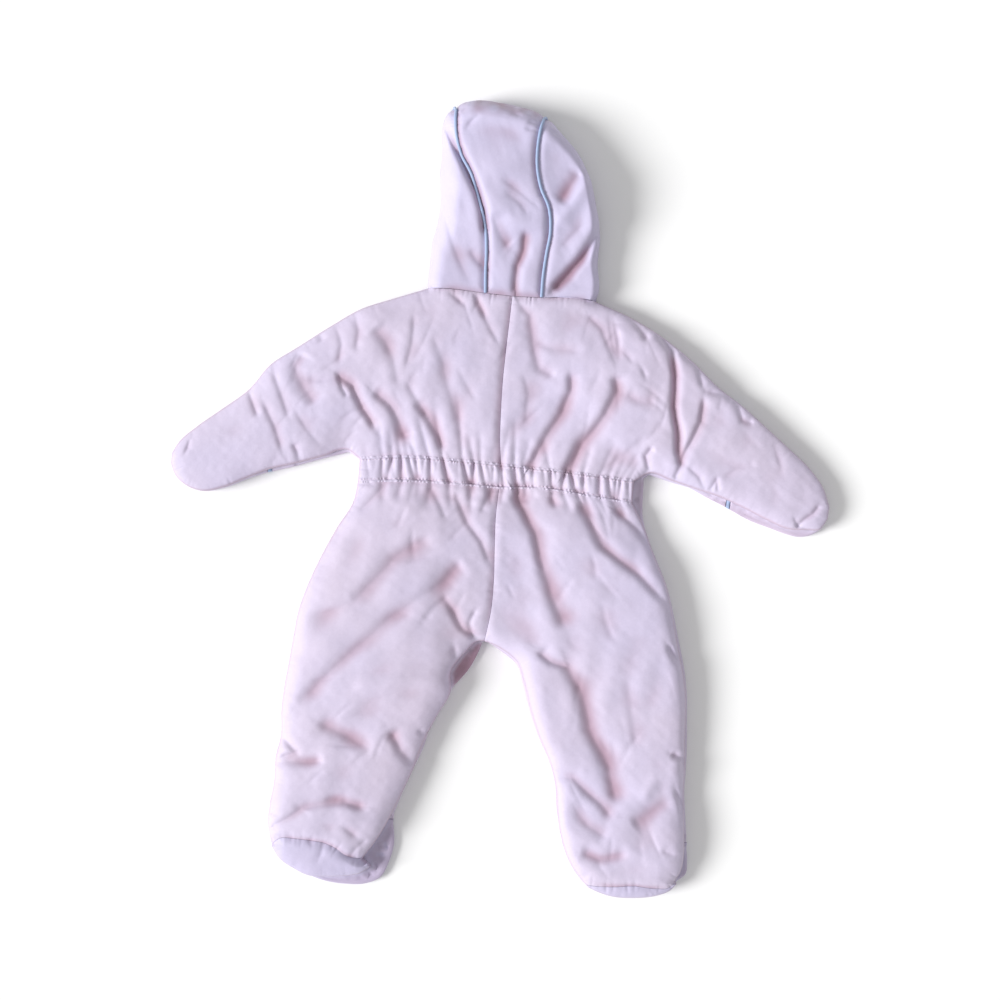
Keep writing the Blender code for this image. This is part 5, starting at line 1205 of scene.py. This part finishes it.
def outward(face, s, t, up):
    # unit normals of a face by small steps; up is the sign that points outward
    step = 0.004
    s0, s1 = np.clip(s - step, 0, 1), np.clip(s + step, 0, 1)
    t0, t1 = np.clip(t - step, 0, 1), np.clip(t + step, 0, 1)
    return up * unit(np.cross(face(s1, t) - face(s0, t), face(s, t1) - face(s, t0)))


def hoodRelief(faces, turnedUnder, fine=True):
    # folds (straight down) and seam dips (inward) on the hood, at points of its faces
    points = faces[..., :2].reshape(-1, 2)
    solid = faces.reshape(-1, 3)
    topLines = [hoodSeam(side, np.linspace(0, 10, 60)) for side in ("left", "right")]
    lowLines = [np.array([hoodWidest[side][-1], faceHem[side][-1]], float) for side in ("left", "right")]
    under = np.broadcast_to(turnedUnder, faces.shape[:-1]).reshape(-1)
    above = np.min([distanceTo(points, line) for line in topLines], axis=0)
    below = np.min([distanceTo(points, line) for line in lowLines], axis=0)
    width = padded["seamDipWidth"]
    gap = np.where(under, below, above)
    dip = np.where(under, hood["pipingUnderDip"], hood["pipingDip"]) * np.exp(-(gap / width) ** 2)
    neckGap = np.abs(points[:, 1] - neckY(points[:, 0]))
    dip = np.maximum(dip, padded["seamDip"] * np.exp(-(neckGap / width) ** 2))
    edge = rounded(distanceTo(points, hoodOutline()) / hood["foldFade"])
    fold = foldHeights(wander(points) if fine else points, foldRows()) * edge
    if fine:
        fold += foldHeights(wander(points), creases) * edge
        calm = 1 - np.exp(-(np.minimum(gap, neckGap) / hood["bulkCalm"]) ** 2)
        dip -= calm * (hood["bulk"] * waves(solid, hood["bulkSize"], seeds["hoodBulk"])
                       + hood["fine"] * waves(solid, hood["fineSize"], seeds["hoodFine"]))
        dip += padded["seamCrease"] * np.exp(-(neckGap / padded["creaseWidth"]) ** 2)
        for number, line in enumerate(topLines):
            dip -= seamPuckers(points, line, *hood["puckers"], seeds["hoodSeams"] + 3 * number) * ~under
    fold = np.where(under, 0.0, fold)
    return fold.reshape(faces.shape[:-1]), dip.reshape(faces.shape[:-1])


def hoodWall(name, face, s, t, up, under, insetS, insetT):
    # outer and inner faces of a hood panel; under tells which points face down
    smooth, normal = face(s, t), outward(face, s, t, up)
    faces = []
    for fine in (True, False):
        fold, dip = hoodRelief(smooth, under(s, t), fine)
        faces.append(smooth - normal * dip[..., None])
        faces[-1][..., 2] += fold
    outer, plain = faces
    held = np.where(plain[..., 2] < hood["heldBelow"], hood["hold"], 0.0)
    held[[0, -1]] = held[:, [0, -1]] = 1
    outer += settleCloth(name, plain, held, hood["slack"], up)
    outer[..., 2] = np.maximum(outer[..., 2], hood["lowest"])
    sIn = np.clip(s, insetS[0], 1 - insetS[1])
    tIn = np.clip(t, insetT[0], 1 - insetT[1])
    liner, linerNormal = face(sIn, tIn), outward(face, sIn, tIn, up)
    fold, dip = hoodRelief(liner, under(sIn, tIn), False)
    inner = liner - linerNormal * (dip + hood["wall"])[..., None]
    inner[..., 2] += np.minimum(fold, 0)
    return outer, inner


def hoodStations():
    # rows and columns of the hood panels; the centre has a row wherever a side's seam has a point
    rows = np.linspace(0, 1, hood["rows"] + 1)
    turn = np.linspace(0, 1, hood["turnColumns"] + 1)[1:]
    columns = np.concatenate([np.linspace(0, 1, hood["sideColumns"] + 1) * hood["sideTop"],
                              hood["sideTop"] + turn * (1 - hood["sideTop"])])
    steps = len(piping["left"])
    crown = np.sin(columns[1:hood["sideColumns"] + 1] / hood["sideTop"] * math.pi / 2)
    crown[-1] = 1
    centre = np.concatenate([rows * (steps - 1), steps - 1 + crown]) / steps * hood["centreTop"]
    centre = np.concatenate([centre, hood["centreTop"] + turn * (1 - hood["centreTop"])])
    return rows, columns, centre


def hoodSeamLine(side):
    # the seam between the centre and a side: points, normals and the way to the side panel
    rows, columns, centre = hoodStations()
    up, edge = (1, 0.0) if side == "left" else (-1, 1.0)

    def face(s, t):
        return hoodSideFace(side, s, t)

    first, last = np.array([0.0]), np.array([1.0])
    smooth = np.vstack([face(rows, first)[:, 0], face(last, columns[1:])[0]])
    normal = np.vstack([outward(face, rows, first, up)[:, 0], outward(face, last, columns[1:], up)[0]])
    normal = unit(normal + outward(hoodCentreFace, centre, np.array([edge]), -1)[:, 0])
    span = 2 * hood["evened"] + 1
    for axis in range(3):
        wide = np.pad(normal[:, axis], hood["evened"], mode="edge")
        normal[:, axis] = np.convolve(wide, np.ones(span) / span, "valid")
    normal = unit(normal)
    turned = np.arange(len(smooth)) > len(smooth) - 1 - hood["turnColumns"]
    fold, dip = hoodRelief(smooth[None], turned[None], False)
    line = smooth - normal * dip[0][:, None]
    line[:, 2] += fold[0]
    return line, normal, unit(-up * np.cross(np.gradient(line, axis=0), normal))


def seamEdge(line, normal, across, way):
    # outer and inner edge of the panel on one side of a hood seam
    outer = line + across * way * seamGap
    inner = line - normal * hood["wall"] + across * way * 3 * seamGap
    return outer, inner


def closeNeck(outer, inner):
    outer[0, :, 1] = neckY(outer[0, :, 0]) + seamGap
    inner[0, :, 1] = np.maximum(inner[0, :, 1], neckY(inner[0, :, 0]) + seamGap)


def hoodPiece(name, outer, inner, node, kind):
    rows, columns = outer.shape[:2]
    first, second = toWorld(outer), toWorld(inner)
    start = rows * columns
    rim = gridRim(rows, columns)
    faces = gridFaces(rows, columns) + gridFaces(rows, columns, start, True)
    faces += rimFaces(rim, [start + k for k in rim])
    along = np.cumsum(np.linalg.norm(np.diff(first, axis=0, prepend=first[:1]), axis=2), axis=0)
    across = np.cumsum(np.linalg.norm(np.diff(first, axis=1, prepend=first[:, :1]), axis=2), axis=1)
    cut = np.dstack([across, along]).reshape(-1, 2)
    # painted shade: the folds' hollows and the crown's roll, which faces away from the light, are darkened
    # in uneven patches, on the upper side alone
    flat = outer[..., :2].reshape(-1, 2)
    inside = softStep((distanceTo(flat, hoodOutline()) - hood["shadeFrom"]) / hood["shadeFade"])
    above = softStep((outer[..., 2].ravel() - layer) / 4)
    paintedShade = hood["foldShade"] * hollowShade(outer[..., 2]).ravel() * inside
    crown = softStep((flat[:, 1] - hood["crownFrom"]) / hood["crownFade"])
    crown *= 0.7 + 0.5 * waves(flat, hood["crownShadePatches"], seeds["crown"], 9)
    paintedShade = np.clip(np.maximum(paintedShade, hood["crownShade"] * crown), 0, 1) * above
    piece = meshPiece(name, np.vstack([first.reshape(-1, 3), second.reshape(-1, 3)]), faces,
                      np.vstack([cut, cut]), np.concatenate([paintedShade, paintedShade * 0]), cloths["hood"])
    faceOutward(piece, hardEdge)
    sewIn(piece, node)


def makeHood():
    rows, columns, centre = hoodStations()
    along = np.linspace(0, 1, hood["centreColumns"] + 1)
    middle = hoodWall("hood centre", hoodCentreFace, centre, along, -1,
                      lambda s, t: (s > hood["centreTop"])[:, None], *hood["centreInset"])
    for side, up in (("left", 1), ("right", -1)):
        seam = hoodSeamLine(side)
        for wall, edge in zip(middle, seamEdge(*seam, -1)):
            wall[:, 0 if side == "left" else -1] = edge

        def face(s, t, side=side):
            return hoodSideFace(side, s, t)

        walls = hoodWall("hood " + side, face, rows, columns, up,
                         lambda s, t: (t > hood["sideTop"])[None, :], *hood["sideInset"])
        for wall, edge in zip(walls, seamEdge(*seam, 1)):
            wall[:, 0] = edge[:len(rows)]
            wall[-1] = edge[len(rows) - 1:]
        closeNeck(*walls)
        hoodPiece("hood_side_%s_cloth" % side, *walls, "hood_side_" + side, "side")
    closeNeck(*middle)
    hoodPiece("hood_centre_cloth", *middle, "hood_centre", "centre")


makeHood()
print("hood is shaped")

cordTrim = {"radius": 1.45, "seat": -0.2, "sides": 12, "uneven": 0.05, "unevenSize": 7.0, "fill": 1.0}


def tube(points, radius, sides):
    # rings round a path in metres, closed at both ends; returns places, faces and charts
    ahead = unit(np.gradient(points, axis=0))
    side = unit(np.cross(ahead, (0, 0, 1)))
    up = np.cross(side, ahead)
    turn = np.linspace(0, 2 * math.pi, sides, endpoint=False)
    ring = side[:, None] * np.cos(turn)[None, :, None] + up[:, None] * np.sin(turn)[None, :, None]
    places = points[:, None] + ring * radius[:, None, None]
    count = len(points)
    faces = ringFaces(count, sides)
    faces += [list(range(sides))[::-1], [(count - 1) * sides + k for k in range(sides)]]
    spots = np.broadcast_arrays(runAlong(points)[:, None], turn[None] * float(radius.mean()))
    chart = np.stack(spots, axis=-1)
    return places.reshape(-1, 3), faces, chart.reshape(-1, 2)


def makePiping(side):
    line, normal, _ = hoodSeamLine(side)
    points = line + normal * (cordTrim["radius"] + cordTrim["seat"])
    points[0, 1] = neckY(points[0, 0]) + 2 * seamGap
    points = points[:-2]
    uneven = waves(runAlong(points)[:, None], cordTrim["unevenSize"], seeds["piping"], 9)
    radius = cordTrim["radius"] * (1 + cordTrim["uneven"] * uneven)
    places, faces, chart = tube(toWorld(points), radius * mm, cordTrim["sides"])
    piece = meshPiece("hood_piping_%s_cord" % side, places, faces, chart, np.zeros(len(places)),
                      cloths["piping"])
    faceOutward(piece)
    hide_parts("hood_piping_" + side)
    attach(piece, "suit")


for side in ("left", "right"):
    makePiping(side)
print("piping is sewn in")


# front panels, the lower layer
front = {"edgeSpacing": 2.0, "innerSpacing": 4.0, "fall": 0.45, "round": 4.2, "rings": 7,
         "seamRound": 0.12, "shoulderInset": 0.8, "wrist": 230.0, "binding": 4.0, "ankle": -352.0,
         "crotch": (-25.0, -190.0), "zipHalf": 7.0, "zipFoot": -150.0,
         "zipHead": 160, "neckEnd": 76, "corner": 0.8,
         "bulk": 1.1, "bulkSize": 26.0, "bulkCalm": 12.0, "crumple": 1.6, "crumpleSize": 7.0,
         "crumpleFrom": 4, "fallReach": (8, 10), "covered": 0.25, "coverFade": 3,
         "shadeFade": 5, "shadeLeast": 0.25, "shadeAbove": 4, "crotchShadeReach": 45,
         "flat": {"front": (0.228, 0.533), "mitten": (0.099, 0.135), "foot": (0.127, 0.069),
                  "binding": (0.015, 0.112)},
         "area": {"front": 0.096, "mitten": 0.009, "foot": 0.0083, "binding": None}}


def lowerPiece(name, outline, roundness, finish, relief=True):
    # a flat slab whose free edges are rounded above and below
    lengths = np.linalg.norm(np.roll(outline, -1, axis=0) - outline, axis=1)
    points, soft = [], []
    for k, length in enumerate(lengths):
        parts = max(1, round(length / front["edgeSpacing"]))
        f = np.arange(parts)[:, None] / parts
        ahead = outline[(k + 1) % len(outline)]
        points.append(outline[k] + (ahead - outline[k]) * f)
        least = min(roundness[k], roundness[(k + 1) % len(outline)]) if parts > 1 else roundness[k]
        soft.append(np.full(parts, least))
    ring, soft = np.vstack(points), np.concatenate(soft)
    ahead = np.roll(ring, -1, axis=0) - ring
    turned = unit(np.stack([-ahead[:, 1], ahead[:, 0]], axis=1))
    inward = turned + np.roll(turned, 1, axis=0)
    inward /= np.maximum(np.linalg.norm(inward, axis=1), front["corner"])[:, None]
    x, y = ring[:, 0], ring[:, 1]
    if (x * np.roll(y, -1) - np.roll(x, -1) * y).sum() < 0:
        inward = -inward
    top = layer - layerGap
    angles = np.linspace(-90, 90, 2 * front["rings"] + 1)
    rings = []
    shown = beyondUpper(ring)
    for angle in np.radians(angles):
        step = front["round"] * (1 - math.cos(angle))
        tight = 1
        if angle >= 0:
            tight = front["covered"] + (1 - front["covered"]) * softStep(shown / front["coverFade"])
        place = ring + inward * (soft * step * tight)[:, None]
        fall = np.minimum(shown, front["fallReach"][0]) * front["fall"] * max(math.sin(angle), 0)
        level = top / 2 * (1 + math.sin(angle)) - fall
        rings.append(np.column_stack([place, level]))
    places = np.vstack(rings)
    count = len(ring)
    faces = ringFaces(len(rings), count)
    for row, level in ((0, 0.0), (len(rings) - 1, top)):
        edge = rings[row][:, :2]
        spot, made = fillPlan(edge, front["innerSpacing"])
        extra = spot[count:]
        gap = distanceTo(extra, np.vstack([edge, edge[:1]]))
        calm = softStep(gap / front["bulkCalm"])
        bump = np.zeros(len(extra))
        if relief:
            bump = np.abs(waves(extra, front["bulkSize"], seeds["frontBulk"])) * front["bulk"] * calm
        out = beyondUpper(extra)
        crumple = (1 + waves(extra, front["crumpleSize"], seeds["crumple"])) * front["crumple"]
        crumple *= softStep(out / front["crumpleFrom"])
        height = level + bump
        if row:
            height = level - bump - np.minimum(out, front["fallReach"][1]) * front["fall"] - crumple
        height = np.maximum(height, 0)
        index = np.concatenate([np.arange(count) + row * count, np.arange(len(extra)) + len(places)])
        places = np.vstack([places, np.column_stack([extra, height])])
        faces += [[int(index[v]) for v in face] for face in made]
    # painted shade: the lower layer is darkened where it shows beyond the back panels, most strongly near
    # the crotch, where the legs overhang it
    away = np.linalg.norm(places[:, :2] - np.array(front["crotch"]), axis=1)
    near = np.exp(-(away / front["crotchShadeReach"]) ** 2)
    paintedShade = front["shadeLeast"] + (1 - front["shadeLeast"]) * near
    paintedShade *= softStep(beyondUpper(places[:, :2]) / front["shadeFade"]) * (places[:, 2] > front["shadeAbove"])
    piece = meshPiece(name, toWorld(places), faces, toWorld(places)[:, :2], paintedShade, finish)
    faceOutward(piece, hardEdge, recount=True)
    return piece


def insideOf(points, outline):
    closed = np.vstack([outline, outline[:1]])
    inside = np.zeros(len(points), bool)
    for a, b in zip(closed[:-1], closed[1:]):
        cross = (a[1] > points[:, 1]) != (b[1] > points[:, 1])
        if a[1] != b[1]:
            edgeX = (b[0] - a[0]) * (points[:, 1] - a[1]) / (b[1] - a[1]) + a[0]
            inside ^= cross & (points[:, 0] < edgeX)
    return inside


def beyondUpper(points):
    # how far points of the lower layer lie outside the back panels that cover it
    cover = np.vstack([upperOutline(), curveAt(neck["right"], 1.0), curveAt(neck["left"], 1.0)])
    return np.where(insideOf(points, cover), 0.0, distanceTo(points, np.vstack([cover, cover[:1]])))


def fillPlan(edge, spacing):
    # triangles inside an outline, on even points; the outline's own points come first
    low, high = edge.min(0), edge.max(0)
    rows = np.arange(low[1], high[1], spacing * 0.87)
    spots = np.array([(x + (k % 2) * spacing / 2, y) for k, y in enumerate(rows)
                      for x in np.arange(low[0], high[0], spacing)])
    spots = spots[insideOf(spots, edge)]
    spots = spots[distanceTo(spots, np.vstack([edge, edge[:1]])) > spacing * 0.45]
    allSpots = np.vstack([edge, spots])
    border = [(k, (k + 1) % len(edge)) for k in range(len(edge))]
    result = delaunay_2d_cdt([Vector(p) for p in allSpots], border, [list(range(len(edge)))], 1, 1e-5)
    origins = [first[0] for first in result[3]]
    return allSpots, [[origins[v] for v in face] for face in result[2]]


def sleeveEdges(side, x):
    # lower and upper edge of the sleeve's front at x, near the wrist
    below = np.array([lowerSleeve[side][-1], lowerHand[side][0]], float)
    above = smoothLine(shoulder[side], 80)
    return (np.interp(abs(x), np.abs(below[:, 0]), below[:, 1]),
            np.interp(abs(x), np.abs(above[:, 0]), above[:, 1]) - front["shoulderInset"])


def sewLower(name, node, parts, finish, relief=True):
    # parts are runs of outline points with how round their edge is
    points = np.vstack([np.array(part, float) for part, _ in parts])
    roundness = np.concatenate([np.full(len(part), share) for part, share in parts])
    piece = lowerPiece(name, points, roundness, finish, relief)
    sewIn(piece, node)


def makeFront(side):
    sign = -1 if side == "left" else 1
    sewn, half = front["seamRound"], front["binding"] / 2
    zipX, centreX = sign * (front["zipHalf"] + seamGap), sign * seamGap
    wristX = sign * (front["wrist"] - half - seamGap)
    neckX = sign * np.linspace(front["zipHalf"] + seamGap, front["neckEnd"], 24)
    corner = np.array(neck[side][-1], float)
    top = curveAt(shoulder[side], np.linspace(0, 0.5, 60))[1:]
    top = top[np.abs(top[:, 0]) < front["wrist"] - 2 * half - 1]
    top[:, 1] -= front["shoulderInset"]
    wristFoot, wristTop = sleeveEdges(side, wristX)
    sleeve = np.array(lowerSleeve[side][-2::-1], float)
    flank, inner = smoothLine(lowerSide[side], 120), smoothLine(lowerInner[side], 90)
    ankle = front["ankle"] + seamGap
    parts = [
        ([(zipX, y) for y in np.linspace(front["zipFoot"] + 1, front["zipHead"], 6)], sewn),
        (np.column_stack([neckX, neckY(neckX) - 2 * seamGap]), sewn),
        ([(corner[0], corner[1] - 2 * seamGap)], sewn),
        (top, 1.0),
        ([(wristX, wristTop), (wristX, wristFoot)], sewn),
        (sleeve, 1.0),
        (flank, 1.0),
        ([(flank[-1][0], ankle), (inner[0][0], ankle)], sewn),
        (inner, 1.0),
        ([(centreX, inner[-1][1] + 2), (centreX, front["zipFoot"] - 3), (zipX, front["zipFoot"] - 1)], sewn),
    ]
    sewLower("front_%s_cloth" % side, "front_" + side, parts, cloths["shell"])


def makeHand(side):
    sign = -1 if side == "left" else 1
    half, sewn = front["binding"] / 2, front["seamRound"]
    hand = smoothLine(lowerHand[side], 90)
    mittenX = sign * (front["wrist"] + half + seamGap)
    low, high = sleeveEdges(side, mittenX)
    parts = [([(mittenX, high), (mittenX, low)], sewn), (hand[5:], 1.0)]
    sewLower("mitten_front_%s_cloth" % side, "mitten_front_" + side, parts,
             cloths["shell"])
    outline = []
    for x, ends in ((front["wrist"] - half + seamGap, (0, 1)), (front["wrist"] + half - seamGap, (1, 0))):
        edges = sleeveEdges(side, x)
        outline += [(sign * x, edges[end]) for end in ends]
    sewLower("mitten_binding_%s_tape" % side, "mitten_binding_" + side,
             [(outline, sewn)], cloths["piping"], False)


def makeFoot(side):
    foot = smoothLine(lowerFoot[side], 100)
    ankle = front["ankle"] - seamGap
    parts = [([(foot[-1][0], ankle), (foot[0][0], ankle)], front["seamRound"]), (foot, 1.0)]
    sewLower("foot_upper_%s_cloth" % side, "foot_upper_" + side, parts, cloths["sole"])


for side in ("left", "right"):
    makeFront(side)
    makeHand(side)
    makeFoot(side)
print("front, mittens and feet are laid")


zipPart = {"half": 6.85, "low": 6.0, "high": 7.3, "foot": -150.0, "head": 195.0, "rows": 116,
           "pitch": 1.3, "toothLength": 2.4, "toothThick": 0.52, "toothHead": 1.25, "toothLevel": 5.3,
           "overlap": 0.35, "firstTooth": 1.2, "toothBevel": 0.16, "ripple": 0.05, "rippleSize": 14.0,
           "across": (0.05, 0.2, 0.42, 0.62, 0.8, 0.94, 1), "thinnedAbove": 0.6,
           "thinned": ((0, 0.5), (0.05, 0.45), (0.2, 0.1), (0.42, 0), (0.62, 0.2), (0.94, 0.2), (1, 0.5)),
           "flat": (0.0137, 0.345)}


def makeZipTape():
    # the woven tape: thinner towards its selvedges, with a channel where its two halves meet
    across = np.array(zipPart["across"])
    across = np.concatenate([-across[::-1], across])
    along = np.linspace(zipPart["foot"], zipPart["head"], zipPart["rows"] + 1)
    thin = np.interp(np.abs(across), *zip(*zipPart["thinned"]))
    plan = np.stack(np.meshgrid(along, across * zipPart["half"], indexing="ij")[::-1], axis=-1)
    ripple = zipPart["ripple"] * waves(plan, zipPart["rippleSize"], seeds["tape"])
    low = np.dstack([plan, zipPart["low"] + thin + ripple])
    above = zipPart["high"] - zipPart["thinnedAbove"] * thin
    high = np.dstack([plan, np.broadcast_to(above, plan.shape[:2])])
    rows, columns = plan.shape[:2]
    rim, start = gridRim(rows, columns), rows * columns
    faces = gridFaces(rows, columns) + gridFaces(rows, columns, start, True)
    faces += rimFaces(rim, [start + k for k in rim])
    places = toWorld(np.vstack([low.reshape(-1, 3), high.reshape(-1, 3)]))
    piece = meshPiece("zip_tape_woven", places, faces, places[:, :2], np.zeros(len(places)), cloths["tape"])
    faceOutward(piece)
    sewIn(piece, "zip_tape")


def makeZipTeeth():
    # one tooth from each side, shaped once and repeated down the zip
    bpy.ops.object.select_all(action="DESELECT")
    teeth = []
    for sign in (-1, 1):
        reach = zipPart["toothLength"]
        first = zipPart["foot"] + zipPart["firstTooth"]
        place = [sign * (reach / 2 - zipPart["overlap"]), first + (sign + 1) * zipPart["pitch"] / 4,
                 zipPart["toothLevel"]]
        bpy.ops.mesh.primitive_cylinder_add(vertices=8, radius=zipPart["toothThick"] * mm, depth=reach * mm,
                                            location=toWorld(place), rotation=(0, math.pi / 2, 0))
        tooth = bpy.context.object
        bpy.ops.object.transform_apply(location=True, rotation=True, scale=True)
        # the head that grips the other side is wider
        head = toWorld(place)[0] - sign * reach / 2 * mm
        for point in tooth.data.vertices:
            if abs(point.co.x - head) < 0.1 * mm:
                point.co.y = toWorld(place)[1] + (point.co.y - toWorld(place)[1]) * zipPart["toothHead"]
        soften = tooth.modifiers.new("soften", "BEVEL")
        soften.width = zipPart["toothBevel"] * mm
        soften.segments = 1
        bpy.ops.object.modifier_apply(modifier=soften.name)
        repeat = tooth.modifiers.new("repeat", "ARRAY")
        repeat.count = int((zipPart["head"] - zipPart["foot"] - 3) / zipPart["pitch"])
        repeat.use_relative_offset = False
        repeat.use_constant_offset = True
        repeat.constant_offset_displace = (0, zipPart["pitch"] * mm, 0)
        bpy.ops.object.modifier_apply(modifier=repeat.name)
        tooth.select_set(False)
        teeth.append(tooth)
    for tooth in teeth:
        tooth.select_set(True)
    bpy.context.view_layer.objects.active = teeth[0]
    bpy.ops.object.join()
    piece = bpy.context.object
    piece.name = "zip_teeth"
    # the joined piece keeps its own origin, so its place is moved into its mesh
    bpy.ops.object.transform_apply(location=True, rotation=True, scale=True)
    bpy.ops.object.shade_smooth_by_angle(angle=math.radians(40))
    piece.data.materials.clear()
    piece.data.materials.append(zipNylon)
    piece.select_set(False)
    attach(piece, "suit")


makeZipTape()
makeZipTeeth()
print("the zip is in")


# the slider and the pull keep their shape
for node in ("zip_slider", "zip_pull"):
    metalPart = bpy.data.objects[node]
    metalPart.data.materials.clear()
    metalPart.data.materials.append(zipMetal)
